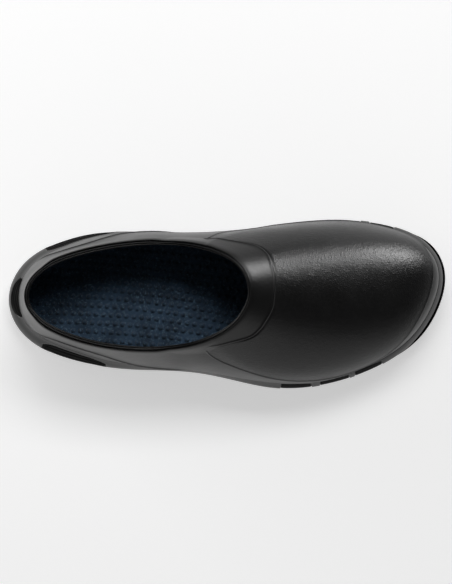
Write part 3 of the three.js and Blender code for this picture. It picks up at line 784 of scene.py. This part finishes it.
# Section of the collar's rim, from its outer edge, across 0, to its inner edge, across 1: three beads with
# grooves between.
RIM_SECTION = (
    ("across", "height"),
    (
        (0.01, 0.25), (0.03, 0.5), (0.07, 0.74), (0.12, 0.88), (0.17, 0.88), (0.21, 0.74), (0.245, 0.55),
        (0.28, 0.45), (0.315, 0.58), (0.35, 0.79), (0.4, 0.95), (0.46, 1.0), (0.52, 0.94), (0.565, 0.76),
        (0.6, 0.64), (0.635, 0.74), (0.68, 0.87), (0.74, 0.9), (0.81, 0.83), (0.88, 0.67), (0.94, 0.45),
        (0.98, 0.2),
    ),
)
# Rows of the shell's inside, as shares of the rib from the sole
INNER_SHARES = (1, 0.985, 0.96, 0.92, 0.86, 0.78, 0.69, 0.59, 0.48, 0.36, 0.24, 0.12, 0)


def rim_share(last, u):
    """Share of the rib at which the wall ends and the rim's rounding starts."""
    return 1 - last.form.rim_drop / last.chord(u)


def outer_shares(last, u):
    """Shares of the ribs at which the shell's outer wall has its rows, closest together along its lines."""
    chord = last.chord(u)
    band = LINE_BAND / chord
    first = last.joint_round(u) / (3 * last.collar.read("rise", u) * chord)
    lower, upper = smooth_run(LOWER_RUN, u), smooth_run(UPPER_RUN, u)
    marks = [first, np.maximum(lower - band, first + LEAST_SHARE)]
    marks.append(np.maximum(lower, first + LEAST_SHARE) + band)
    marks += [upper - band, np.minimum(upper + band, TOP_SHARE), rim_share(last, u)]
    counts = (ROWS_BELOW, ROWS_ON_LINE, ROWS_BETWEEN, ROWS_ON_LINE, ROWS_ABOVE)
    rows = []
    for low, high, count in zip(marks, marks[1:], counts):
        rows += [blend(low, high, i / count) for i in range(count)]
    return np.array([*rows, marks[-1]])


def step_with_groove(relief, past):
    """Height across a line, for a signed distance past it, and the groove and bead that run along it."""
    groove = -relief.groove_depth * hump(past + 0.3 * relief.groove_width, relief.groove_width)
    bead = relief.bead_height * hump(past - 0.6 * relief.bead_width, relief.bead_width)
    return ease((past + 0.2 * relief.step_width) / relief.step_width), groove + bead


SWEEPS = ((SWEEP_LATERAL, 0.85, 4.0), (SWEEP_MEDIAL[::-1], 14.0, 17.0))  # each with the ribs where it ends
SWEEP_DETAIL = 1.3  # groove and bead along a sweep, against those along the vamp's edge


def shell_relief(last, u, t, points):
    """How far the shell stands out of the last, and 1 for its grained panel."""
    relief = last.relief
    height = np.zeros(t.shape)
    for places, start, end in SWEEPS:
        line = drawn_line(places)
        above = np.where(t > smooth_run(places, u), 1, -1)
        past = above * distance_to(points, last.rib_point(line[:, 0], line[:, 1]))
        strength = ease((u - start) / 0.5) * ease((end - u) / 0.5)
        step, detail = step_with_groove(relief, past)
        height += strength * (relief.sweep_step * step + SWEEP_DETAIL * detail)
    edge, throat = drawn_line(VAMP_EDGE), drawn_line(THROAT)
    panel = inside_loop(u, t, np.vstack([edge, throat[::-1]]))
    above = ~panel & (t > smooth_run(UPPER_RUN, u))
    strength = ease((u - 4.5) / 0.6) * ease((13.27 - u) / 0.5)
    past_edge = np.where(panel | above, 1, -1) * distance_to(points, last.rib_point(edge[:, 0], edge[:, 1]))
    past_throat = np.where(above, 1, -1) * distance_to(points, last.rib_point(throat[:, 0], throat[:, 1]))
    edge_step, edge_detail = step_with_groove(relief, past_edge)
    throat_step, throat_detail = step_with_groove(relief, past_throat)
    height += strength * (relief.vamp_step * edge_step + relief.throat_step * throat_step)
    edge_detail = edge_detail * (1 - 0.5 * last.groove_share(u))
    height += np.where(np.abs(past_edge) < np.abs(past_throat), edge_detail, throat_detail)
    band = ease((u - 3.0) / 2.6) * ease((14.9 - u) / 2.6) * ease((t - 0.8) / 0.2)
    height = np.maximum(height, band * (relief.vamp_step + relief.throat_step))
    grain = panel * ease(np.minimum(np.abs(past_edge), np.abs(past_throat)) / (2 * MM))
    return height, grain


def shell_ring(last):
    """Columns round the shell, crowded where the vamp panel ends in points."""
    fine = last.ring(40 * SHELL_COLUMNS)
    crowd = sum(np.exp(-(((fine - beak) / BEAK_SPAN) ** 2)) for beak in BEAK_RIBS)
    run = np.cumsum(1 + BEAK_CROWDING * crowd)
    return np.interp(np.arange(SHELL_COLUMNS) * run[-1] / SHELL_COLUMNS, run - run[0], fine)


def shell_rows(last):
    u = shell_ring(last)
    form, outward, joint = last.form, last.outward(u), last.joint(u)
    rounding = last.joint_round(u)
    base = [joint - outward * form.wall]
    for angle in np.radians((-90, -60, -30)):
        inset = column(rounding * (1 - math.cos(angle)))
        base.append(joint - outward * inset + UP * column(rounding * (1 + math.sin(angle))))
    shares = outer_shares(last, u)
    round_u = np.broadcast_to(u, shares.shape)
    wall = last.rib_point(round_u, shares)
    normal = last.normal(last.rib_point, round_u, shares)
    height, grain = shell_relief(last, round_u, shares, wall)
    outer = wall + normal * column(height)
    climb = last.relief.fillet_climb
    base[1:] = [row + last.fillet(u, row, climb) for row in base[1:]]
    outer += np.array([last.fillet(u, row, climb) for row in outer])

    ending = rim_share(last, u)
    top_normal = last.normal(last.rib_point, u, ending)
    upward = unit(last.rib_point(u, np.ones_like(u)) - last.rib_point(u, ending))
    top = height[-1]
    outer_edge = last.rib_point(u, ending) + top_normal * column(top)
    rim_height = form.rim_rise + form.rim_drop
    rim = []
    for across, rise in RIM_SECTION[1]:
        inward = across * (top + form.wall)
        rim.append(outer_edge - top_normal * column(inward) + upward * (rise * rim_height))
    inner = [
        last.rib_point(u, share * ending) - last.normal(last.rib_point, u, share * ending) * form.wall
        for share in INNER_SHARES
    ]
    inner[-1] = base[0]
    rows = np.array([*base, *outer, *rim, *inner])
    full_grain = np.zeros(rows.shape[:2])
    full_grain[len(base) : len(base) + len(outer)] = grain
    return rows, full_grain


class CLOG_OT_shell(bpy.types.Operator):
    """Models the foam shell with its collar, vamp panel, sweeps and grooves"""

    bl_idname = "clog.shell"
    bl_label = "Shell"

    def execute(self, context):
        last = Last(context.scene)
        rows, grain = shell_rows(last)
        shell = rolled_grid("shell", rows, last.shift, grain=grain)
        settle(shell, material(foam_finish), "foam", "upper")
        light_only("inner_toe", shell)
        return {"FINISHED"}


# The sole unit

SOLE_COLUMNS = 1080
SIDE_ROWS = 46
CENTRE_SHARES = (0.0, 0.35, 0.7, 0.9)  # rows of a flat face, from its middle line towards its edge
POCKET_EDGE = 0.5 * MM  # width over which a pocket reaches its depth
DIP_WIDTH = 1.2 * MM  # width of the dip round a pocket


def grip_reach(last, grip, u, v):
    """How far each place on the sole's side lies inside a grip's edge, in metres; negative outside."""
    half = (grip["to"] - grip["from"]) / 2
    middle = grip["from"] + half
    start, end = last.outline_point(np.array([grip["from"], grip["to"]]))
    half_length = size_of(end - start) / 2
    lower, upper = last.side_point(np.array([middle, middle]), np.array([0.0, 1.0]))
    height = size_of(upper - lower)
    away = (u - middle + last.sole.count / 2) % last.sole.count - last.sole.count / 2
    share_along = np.abs(away) / half
    narrow = 1 - grip["taper"] * np.minimum(share_along, 1) ** 4
    high = grip["high"] + grip["slant"] * np.clip(away / half, -1, 1) / 2
    middle_v = (high + grip["low"]) / 2 + grip["bow"] * np.minimum(share_along, 1) ** 2
    up = (high - grip["low"]) / 2 * narrow * height - np.abs(v - middle_v) * height
    return np.minimum(up, (1 - share_along) * half_length)


def sole_unit_rows(last):
    u = last.ring(SOLE_COLUMNS)
    form, relief = last.form, last.relief
    outward, joint = last.outward(u), last.joint(u)
    rounding = last.joint_round(u)
    bottom = form.tread + form.plate + form.gap
    low_edge = last.side_point(u, np.zeros_like(u))
    rows = rows_to_centre(low_edge, CENTRE_SHARES, lambda x: last.lift(x) + bottom)
    top_share = 1 - rounding / size_of(joint - last.side_point(u, np.full_like(u, 0.9))) * 0.1
    v = np.array([blend(0 * u, top_share, s) for s in np.linspace(0, 1, SIDE_ROWS)])
    round_u = np.broadcast_to(u, v.shape)
    side = last.side_point(round_u, v)
    normal = last.normal(last.side_point, round_u, v)
    depth = np.zeros(v.shape)
    for grip in (*HEEL_GRIPS, *SIDE_GRIPS):
        reach = grip_reach(last, grip, round_u, v)
        depth = np.maximum(depth, last.grips.pocket_depth * ease((reach + form.gap) / POCKET_EDGE + 0.5))
        depth = np.maximum(depth, relief.lip_depth * ease(1 + reach / DIP_WIDTH))
    side -= normal * column(depth)
    side += np.array([last.fillet(u, row, relief.fillet_reach) for row in side])
    rows += list(side)
    rim = joint - UP * form.seam
    for angle in np.radians((30, 60, 90)):
        inset = column(rounding * (1 - math.cos(angle)))
        rows.append(rim - outward * inset - UP * column(rounding * (1 - math.sin(angle))))
    rows[-3:] = [row + last.fillet(u, row, relief.fillet_reach) for row in rows[-3:]]
    cup = rim - outward * (form.wall + form.cup_ledge)
    floor = cup.copy()
    floor[:, 2] = last.footbed(floor[:, 0])
    rows += [cup, blend(cup, floor, 0.5)]
    rows += rows_to_centre(floor, (1.0, *CENTRE_SHARES[::-1]), last.footbed)
    return rows


class CLOG_OT_sole_unit(bpy.types.Operator):
    """Models the foam sole unit with its flared heel and the pockets of the grips"""

    bl_idname = "clog.sole_unit"
    bl_label = "Sole unit"

    def execute(self, context):
        last = Last(context.scene)
        sole_unit = rolled_grid("sole_unit", sole_unit_rows(last), last.shift)
        settle(sole_unit, material(foam_finish), "foam", "midsole")
        return {"FINISHED"}


# The grips

GRIP_CELLS = (90, 40)  # along and up a heel grip
TAB_CELLS = (40, 14)
RIB_END = 0.06  # share of a heel grip's half length over which its ribs end
RIB_FLATNESS = 0.6  # below 1 the ribs' tops are broad
EVEN_SINK = 0.45  # share of a side grip's sink that it has along its whole upper edge


def grip_piece(last, grip, cells, rib_count):
    """A rubber grip: a grid laid in its pocket, ribbed along its length, thickened and rounded."""
    grips = last.grips
    deselect_all()
    bpy.ops.mesh.primitive_grid_add(x_subdivisions=cells[0], y_subdivisions=cells[1], size=2)
    piece = bpy.context.object
    mesh = piece.data
    start = np.empty(len(mesh.vertices) * 3, np.float32)
    mesh.vertices.foreach_get("co", start)
    across, up = start.reshape(-1, 3)[:, 0].astype(float), start.reshape(-1, 3)[:, 1].astype(float)
    half = (grip["to"] - grip["from"]) / 2
    u = grip["from"] + half + half * across
    narrow = 1 - grip["taper"] * np.abs(across) ** 4
    high = grip["high"] + grip["slant"] * across / 2
    v = (high + grip["low"]) / 2 + grip["bow"] * across**2 + (high - grip["low"]) / 2 * narrow * up
    if rib_count:
        ribs = 0.5 - 0.5 * np.cos(math.pi * rib_count * (up + 1))
        ends = ease((1 - np.abs(across)) / RIB_END)
        sunk = grips.below + grips.rib_height * (1 - ribs**RIB_FLATNESS * ends)
    else:
        deep_end = across**2 if grip["sinks"] == 0 else (1 + grip["sinks"] * across) / 2
        sunk = grips.below + grips.sink * blend(EVEN_SINK, 1, deep_end) * ((1 + up) / 2) ** 2
    points = last.side_point(u, v) - last.normal(last.side_point, u, v) * column(sunk)
    mesh.vertices.foreach_set("co", (points + last.shift).astype(np.float32).ravel())
    mesh.update()
    deepest = grips.below + (grips.rib_height if rib_count else grips.sink)
    thickness = grips.pocket_depth - last.form.gap - deepest
    apply_modifier(piece, "SOLIDIFY", thickness=thickness, offset=-1)
    round_edges(piece, grips.edge_round, 3, 60)
    deselect_all()
    piece.select_set(True)
    bpy.ops.object.shade_smooth_by_angle(angle=math.radians(40))
    return piece


class CLOG_OT_heel_grips(bpy.types.Operator):
    """Models the three ribbed rubber grips in the heel's ledge"""

    bl_idname = "clog.heel_grips"
    bl_label = "Heel grips"

    def execute(self, context):
        last = Last(context.scene)
        for grip in HEEL_GRIPS:
            piece = grip_piece(last, grip, GRIP_CELLS, last.grips.rib_count)
            piece.name = piece.data.name = "heel_grip_" + grip["name"]
            settle(piece, material(rubber_finish), "rubber", "heel_pad_" + grip["name"])
        return {"FINISHED"}


class CLOG_OT_side_grips(bpy.types.Operator):
    """Models the six rubber tabs in the forefoot's side"""

    bl_idname = "clog.side_grips"
    bl_label = "Side grips"

    def execute(self, context):
        last = Last(context.scene)
        for grip in SIDE_GRIPS:
            piece = grip_piece(last, grip, TAB_CELLS, 0)
            piece.name = piece.data.name = "side_grip_" + grip["name"]
            settle(piece, material(rubber_finish), "rubber", "side_pad_" + grip["name"])
        return {"FINISHED"}


# The tread

TREAD_COLUMNS = 540
PLATE_ROUND = 0.5 * MM  # rounding of the plate's lower edge
LIP_FULL = 0.6  # bumper share from which the lip over the toe has its full thickness


def outsole_inset(last, u):
    return last.form.outsole_inset * (1 - clamp01(last.sole.read("bumper", u)))


def plate_rows(last):
    """The outsole's plate with the lip that it turns up over the toe."""
    u = last.ring(TREAD_COLUMNS)
    form = last.form
    rounding = PLATE_ROUND
    lip = ease(last.sole.read("bumper", u) / LIP_FULL)
    thick = np.maximum(last.bumper_inset(u) - form.gap, 0) * lip

    def at(inset, height):
        point = last.outline(u, outsole_inset(last, u) + inset)
        point[:, 2] = last.lift(point[:, 0]) + height
        return point

    plate_top = form.tread + form.plate
    high = blend(plate_top, form.bumper_top, ease(last.sole.read("bumper", u)))
    top_round = thick / 2
    low_edge = at(rounding, form.tread)
    rows = rows_to_centre(low_edge, (*CENTRE_SHARES, 1.0), lambda x: last.lift(x) + form.tread)
    rows += [at(0.3 * rounding, form.tread + 0.3 * rounding), at(0, form.tread + rounding)]
    rows += [at(0, blend(form.tread + rounding, high - top_round - 0.3 * MM, s)) for s in (0.33, 0.66, 1.0)]
    for angle in np.radians((30, 60, 90, 120, 150, 180)):
        rows.append(at(top_round * (1 - math.cos(angle)) + 0 * u, high - top_round * (1 - math.sin(angle))))
    inner = at(np.maximum(thick, 0.3 * rounding), np.minimum(plate_top + 0 * u, high))
    rows.append(inner)
    rows += rows_to_centre(inner, CENTRE_SHARES[::-1], lambda x: last.lift(x) + plate_top)
    return rows


def lug_mesh(context, last):
    """One six-sided lug, rounded, its dished face down on z 0."""
    tread = context.scene.clog_tread
    radius = tread.across_flats / math.sqrt(3)
    depth = last.form.tread + last.form.plate / 2
    deselect_all()
    bpy.ops.mesh.primitive_cylinder_add(vertices=6, radius=radius, depth=depth, location=(0, 0, depth / 2))
    lug = context.object
    lug.data.transform(lug.matrix_world)
    lug.matrix_world.identity()
    bpy.ops.object.mode_set(mode="EDIT")
    select_faces(lug, lambda normal, centre: normal.z < -0.9)
    bpy.ops.mesh.inset(thickness=tread.dish_inset, depth=0)
    bpy.ops.mesh.inset(thickness=tread.dish_depth, depth=-tread.dish_depth)
    bpy.ops.object.mode_set(mode="OBJECT")
    round_edges(lug, tread.edge_round, 2, 30)
    return lug


def select_faces(piece, wanted):
    """Selects, in edit mode, the faces whose normal and centre are wanted."""
    bpy.context.tool_settings.mesh_select_mode = (False, False, True)
    bpy.ops.mesh.select_all(action="DESELECT")
    mesh = bmesh.from_edit_mesh(piece.data)
    for face in mesh.faces:
        face.select_set(wanted(face.normal, face.calc_center_median()))
    mesh.select_flush_mode()
    bmesh.update_edit_mesh(piece.data)


def lug_places(context, last):
    """Centres of the lugs on a staggered grid, over the whole plan."""
    tread = context.scene.clog_tread
    pitch = tread.across_flats + tread.channel
    row_pitch = pitch * math.sqrt(3) / 2
    half = math.ceil(last.form.ball_width / 2 / pitch) + 1
    for row in range(math.ceil(last.form.length / row_pitch) + 1):
        for i in range(-half, half + 1):
            yield row * row_pitch, (i + (row % 2) / 2) * pitch


def bend_to_tread(last, mesh):
    """Lifts a mesh modelled on a flat floor to the curve of the tread."""
    points = np.empty(len(mesh.vertices) * 3, np.float32)
    mesh.vertices.foreach_get("co", points)
    points = points.reshape(-1, 3).astype(float)
    points[:, 2] += last.lift(points[:, 0])
    mesh.vertices.foreach_set("co", (points + last.shift).astype(np.float32).ravel())
    mesh.update()


def lugs_piece(context, last):
    """All lugs: one is modelled, copied over the plan, and cut to the outsole's edge."""
    tread = context.scene.clog_tread
    one = lug_mesh(context, last)
    u = last.ring(TREAD_COLUMNS)
    border = last.outline(u, outsole_inset(last, u) + tread.margin)
    radius = tread.across_flats / math.sqrt(3)
    whole, cut = [], []
    for x, y in lug_places(context, last):
        centre = np.array([x, y, 0.0])
        inside = inside_loop(np.array([x]), np.array([y]), border[:, :2])[0]
        to_border = distance_to(centre[None], np.vstack([border, border[:1]]) * (1, 1, 0))[0]
        if inside or to_border < radius:
            copy = bpy.data.objects.new("lug", one.data.copy())
            copy.data.transform(Matrix.Translation(centre))
            context.collection.objects.link(copy)
            (cut if to_border < radius else whole).append(copy)
    bpy.data.objects.remove(one)
    edge_lugs = join(cut)
    depth = last.form.tread + last.form.plate
    rows = [border.copy(), border.copy()]
    rows[0][:, 2], rows[1][:, 2] = -depth, 2 * depth
    below = rows_to_centre(rows[0], CENTRE_SHARES, lambda x: -depth + 0 * x)
    above = rows_to_centre(rows[1], CENTRE_SHARES[::-1], lambda x: 2 * depth + 0 * x)
    cutter = rolled_grid("cutter", [*below, *rows, *above], 0)
    apply_modifier(edge_lugs, "BOOLEAN", operation="INTERSECT", solver="EXACT", object=cutter)
    bpy.data.objects.remove(cutter)
    return join([edge_lugs, *whole])


def join(pieces):
    deselect_all()
    for piece in pieces:
        piece.select_set(True)
    bpy.context.view_layer.objects.active = pieces[0]
    bpy.ops.object.join()
    return pieces[0]


class CLOG_OT_tread(bpy.types.Operator):
    """Models the rubber outsole: plate, toe lip and lugs"""

    bl_idname = "clog.tread"
    bl_label = "Tread"

    def execute(self, context):
        last = Last(context.scene)
        plate = rolled_grid("tread", plate_rows(last), last.shift)
        lugs = lugs_piece(context, last)
        bend_to_tread(last, lugs.data)
        tread = join([plate, lugs])
        deselect_all()
        tread.select_set(True)
        bpy.ops.object.shade_smooth_by_angle(angle=math.radians(35))
        settle(tread, material(rubber_finish), "rubber", "outsole")
        return {"FINISHED"}


# The insole

INSOLE_COLUMNS = 540
ROWS_MARGIN = 0.03  # rows of nubs start and end this far outside the insole
ROW_WAVES = 30  # radians of wave along each metre of a row
ROW_LAG = 0.5  # radians from one row's wave to the next
ROW_CURVE = 0.6  # how much more a row turns, for each metre from the middle


def insole_rows(last, insole):
    u = last.ring(INSOLE_COLUMNS)
    top = insole.thickness + insole.roll
    rounding = insole.rounding

    def at(inset, height):
        point = last.insole_edge(u, inset)
        point[:, 2] += height
        return point

    def under(x):
        return last.footbed(x) + last.form.gap

    rows = rows_to_centre(at(rounding, 0), (*CENTRE_SHARES, 1.0), under)
    for angle in np.radians((-60, -30, 0)):
        rows.append(at(rounding * (1 - math.cos(angle)), rounding * (1 + math.sin(angle))))
    for angle in np.radians((0, 30, 60, 90)):
        rows.append(at(rounding * (1 - math.cos(angle)), top - rounding * (1 - math.sin(angle))))
    for s in (0.2, 0.4, 0.6, 0.8, 1.0):
        rows.append(at(blend(rounding, insole.border, s), insole.thickness + insole.roll * (1 - ease(s))))
    shares = np.linspace(1, 0, 26)[1:]
    rows += rows_to_centre(at(insole.border, insole.thickness), shares, lambda x: under(x) + insole.thickness)
    return rows


def nub_places(last, insole):
    """Centres of the nubs: staggered rows along the shoe that wander a little."""
    u = last.ring(INSOLE_COLUMNS)
    border = last.insole_edge(u, insole.border * 0.8)[:, :2]
    low, high = border.min(axis=0), border.max(axis=0)
    places = []
    for row, y in enumerate(np.arange(low[1] - ROWS_MARGIN, high[1] + ROWS_MARGIN, insole.row_pitch)):
        start = low[0] + (row % 2) * insole.nub_pitch / 2
        x = np.arange(start, high[0], insole.nub_pitch)
        from_middle = x - (low[0] + high[0]) / 2
        wave = insole.row_wave * np.sin(x * ROW_WAVES + ROW_LAG * row)
        drop = (insole.row_drop + ROW_CURVE * from_middle) * from_middle
        places.append(np.stack([x, y + wave - drop], axis=-1))
    places = np.vstack(places)
    return places[inside_loop(places[:, 0], places[:, 1], border)]


def nub_mesh(context, insole):
    """One nub: the upper half of a sphere made a little higher, with the attribute foot 1 at its foot, where
    the cloth paints shade.
    """
    deselect_all()
    bpy.ops.mesh.primitive_uv_sphere_add(segments=12, ring_count=8, radius=insole.nub_width / 2)
    nub = context.object
    bpy.ops.object.mode_set(mode="EDIT")
    bpy.ops.mesh.select_all(action="SELECT")
    bpy.ops.mesh.bisect(plane_co=(0, 0, 0), plane_no=(0, 0, 1), clear_inner=True, use_fill=True)
    bpy.ops.mesh.select_all(action="SELECT")
    bpy.ops.transform.resize(value=(1, 1, 2 * insole.nub_height / insole.nub_width))
    bpy.ops.object.mode_set(mode="OBJECT")
    height = np.empty(len(nub.data.vertices) * 3, np.float32)
    nub.data.vertices.foreach_get("co", height)
    # foot marks painted shade: 1 where the nub meets the sheet, fading to 0 at 45% of the nub's height
    foot = 1 - clamp01(height[2::3] / (0.45 * insole.nub_height))
    nub.data.attributes.new("foot", "FLOAT", "POINT").data.foreach_set("value", foot.astype(np.float32))
    return nub


class CLOG_OT_insole(bpy.types.Operator):
    """Models the loose insole with its turned-up border and its nubs"""

    bl_idname = "clog.insole"
    bl_label = "Insole"

    def execute(self, context):
        last = Last(context.scene)
        insole = context.scene.clog_insole
        sheet = rolled_grid("insole_sheet", insole_rows(last, insole), last.shift)
        nub = nub_mesh(context, insole)
        copies = []
        for x, y in nub_places(last, insole):
            z = last.footbed(x) + last.form.gap + insole.thickness - 0.1 * insole.nub_height
            copy = bpy.data.objects.new("nub", nub.data.copy())
            copy.data.transform(Matrix.Translation(last.shift + (x, y, z)))
            context.collection.objects.link(copy)
            copies.append(copy)
        bpy.data.objects.remove(nub)
        sheet = join([sheet, *copies])
        bpy.ops.object.shade_smooth()
        settle(sheet, material(cloth_finish), "cloth", "insole")
        light_only("insole", sheet)
        return {"FINISHED"}


# The stage


class CLOG_OT_stage(bpy.types.Operator):
    """Sets up the floor, the soft lights and the camera"""

    bl_idname = "clog.stage"
    bl_label = "Stage"

    def execute(self, context):
        scene = context.scene
        stage = scene.clog_stage
        aim = Vector((stage.aim_x, stage.aim_y, stage.aim_z))
        add_camera(scene, stage, aim)
        add_floor()
        add_sky(scene)
        for light in LIGHTS:
            add_softbox(scene, aim, *light)
        scene.view_settings.view_transform = "Standard"
        scene.view_settings.look = "None"
        return {"FINISHED"}


# Softboxes, each turned to the shoe: name, direction and height in degrees, distance, width and height in
# metres, and power in watts. Direction 0 is the toe's, 90 the inner side's. inner_toe lights the shell alone
# and insole the insole alone.
LIGHTS = (
    ("inner_toe", 44, 21, 0.54, (0.2, 0.3), 2.9),
    ("insole", 82, 58, 1.3, (0.8, 0.4), 8),
    ("heel", 150, 9, 1.3, (1.0, 0.35), 7),
    ("outer_side", 270, 15, 1.3, (1.4, 0.4), 0.8),
)


def add_camera(scene, stage, aim):
    lens = SENSOR * stage.focal_pixels / PICTURE_HEIGHT
    back = Vector((0, -math.cos(stage.elevation), math.sin(stage.elevation)))
    bpy.ops.object.camera_add(location=aim + back * stage.distance)
    camera = bpy.context.object
    camera.name = "camera"
    camera.rotation_euler = (math.pi / 2 - stage.elevation, 0, 0)
    camera.data.sensor_fit = "VERTICAL"
    camera.data.sensor_height = SENSOR
    camera.data.lens = lens
    camera.data.clip_start, camera.data.clip_end = 0.01, 50
    scene.camera = camera


def add_floor():
    deselect_all()
    bpy.ops.mesh.primitive_plane_add(size=8, location=(0, 0, 0))
    floor = bpy.context.object
    floor.name = "floor"
    floor.data.transform(floor.matrix_world)
    floor.matrix_world.identity()
    floor.data.materials.append(material(floor_finish))


SKY_TOP = 0.75  # height, on a dome of radius 1, from which the sky is dim
SKY_DIM = 0.08
TOEWARD = (0.94, 0.34, 0.0)  # the way in front of the toe, where the sky is dim too
TOEWARD_FROM, TOEWARD_TO, TOEWARD_DIM = 0.2, 0.52, 0.2


def add_sky(scene):
    """Soft light from all round, bright near the horizon, dim overhead and dim in front of the toe."""
    world = bpy.data.worlds.new("studio")
    scene.world = world
    world.use_nodes = True
    sky = NodeTree(world.node_tree)
    place = sky.node("TexCoord").outputs["Generated"]
    height = sky.node("SeparateXYZ", vector=place).outputs["Z"]
    low = sky.math("POWER", sky.span(height, 0.0, SKY_TOP, 1.0, 0.0), 2.0)
    toeward = sky.node("VectorMath", {"operation": "DOT_PRODUCT"})
    sky.put(toeward.inputs[0], place)
    sky.put(toeward.inputs[1], TOEWARD)
    shade = sky.span(toeward.outputs["Value"], TOEWARD_FROM, TOEWARD_TO, 1.0, TOEWARD_DIM)
    background = world.node_tree.nodes["Background"]
    sky.put(background.inputs["Color"], (1, 1, 1, 1))
    sky.put(background.inputs["Strength"], sky.math("MULTIPLY", sky.span(low, 0.0, 1.0, SKY_DIM, 1.0), shade))


def add_softbox(scene, aim, name, direction, height, distance, size, power):
    turn, tilt = math.radians(direction), math.radians(height)
    way = Vector((math.cos(turn) * math.cos(tilt), math.sin(turn) * math.cos(tilt), math.sin(tilt)))
    light = bpy.data.lights.new(name, "AREA")
    light.shape = "RECTANGLE"
    light.size, light.size_y = size
    light.energy = power
    holder = bpy.data.objects.new(name, light)
    holder.location = aim + way * distance
    holder.rotation_euler = way.to_track_quat("Z", "Y").to_euler()
    scene.collection.objects.link(holder)


def light_only(name, piece):
    """Keeps a light to one piece, so that it doesn't show on the others or on the floor."""
    receivers = bpy.data.collections.new(name + "_light")
    receivers.objects.link(piece)
    bpy.data.objects[name].light_linking.receiver_collection = receivers


class CLOG_PT_panel(bpy.types.Panel):
    """Sizes, colours and steps of the clog"""

    bl_idname = "CLOG_PT_panel"
    bl_label = "Clog"
    bl_space_type = "VIEW_3D"
    bl_region_type = "UI"
    bl_category = "Clog"

    def draw(self, context):
        for operator in OPERATORS:
            self.layout.operator(operator.bl_idname)
        for key, group in GROUPS.items():
            box = self.layout.box()
            box.label(text=group.__doc__)
            for name in group.__annotations__:
                box.prop(getattr(context.scene, key), name)


GROUPS = {
    "clog_form": ClogForm,
    "clog_relief": ClogRelief,
    "clog_grips": ClogGrips,
    "clog_tread": ClogTread,
    "clog_insole": ClogInsole,
    "clog_colours": ClogColours,
    "clog_stage": ClogStage,
}
OPERATORS = (
    CLOG_OT_stage,
    CLOG_OT_shell,
    CLOG_OT_sole_unit,
    CLOG_OT_heel_grips,
    CLOG_OT_side_grips,
    CLOG_OT_tread,
    CLOG_OT_insole,
)


def register():
    for group in (*GROUPS.values(), *OPERATORS, CLOG_PT_panel):
        bpy.utils.register_class(group)
    for key, group in GROUPS.items():
        setattr(bpy.types.Scene, key, PointerProperty(type=group))


def unregister():
    for key in GROUPS:
        delattr(bpy.types.Scene, key)
    for group in (CLOG_PT_panel, *reversed(OPERATORS), *GROUPS.values()):
        bpy.utils.unregister_class(group)


def main():
    register()
    bpy.ops.clog.stage()
    bpy.ops.clog.shell()
    bpy.ops.clog.sole_unit()
    bpy.ops.clog.heel_grips()
    bpy.ops.clog.side_grips()
    bpy.ops.clog.tread()
    bpy.ops.clog.insole()


if __name__ == "__main__":
    main()
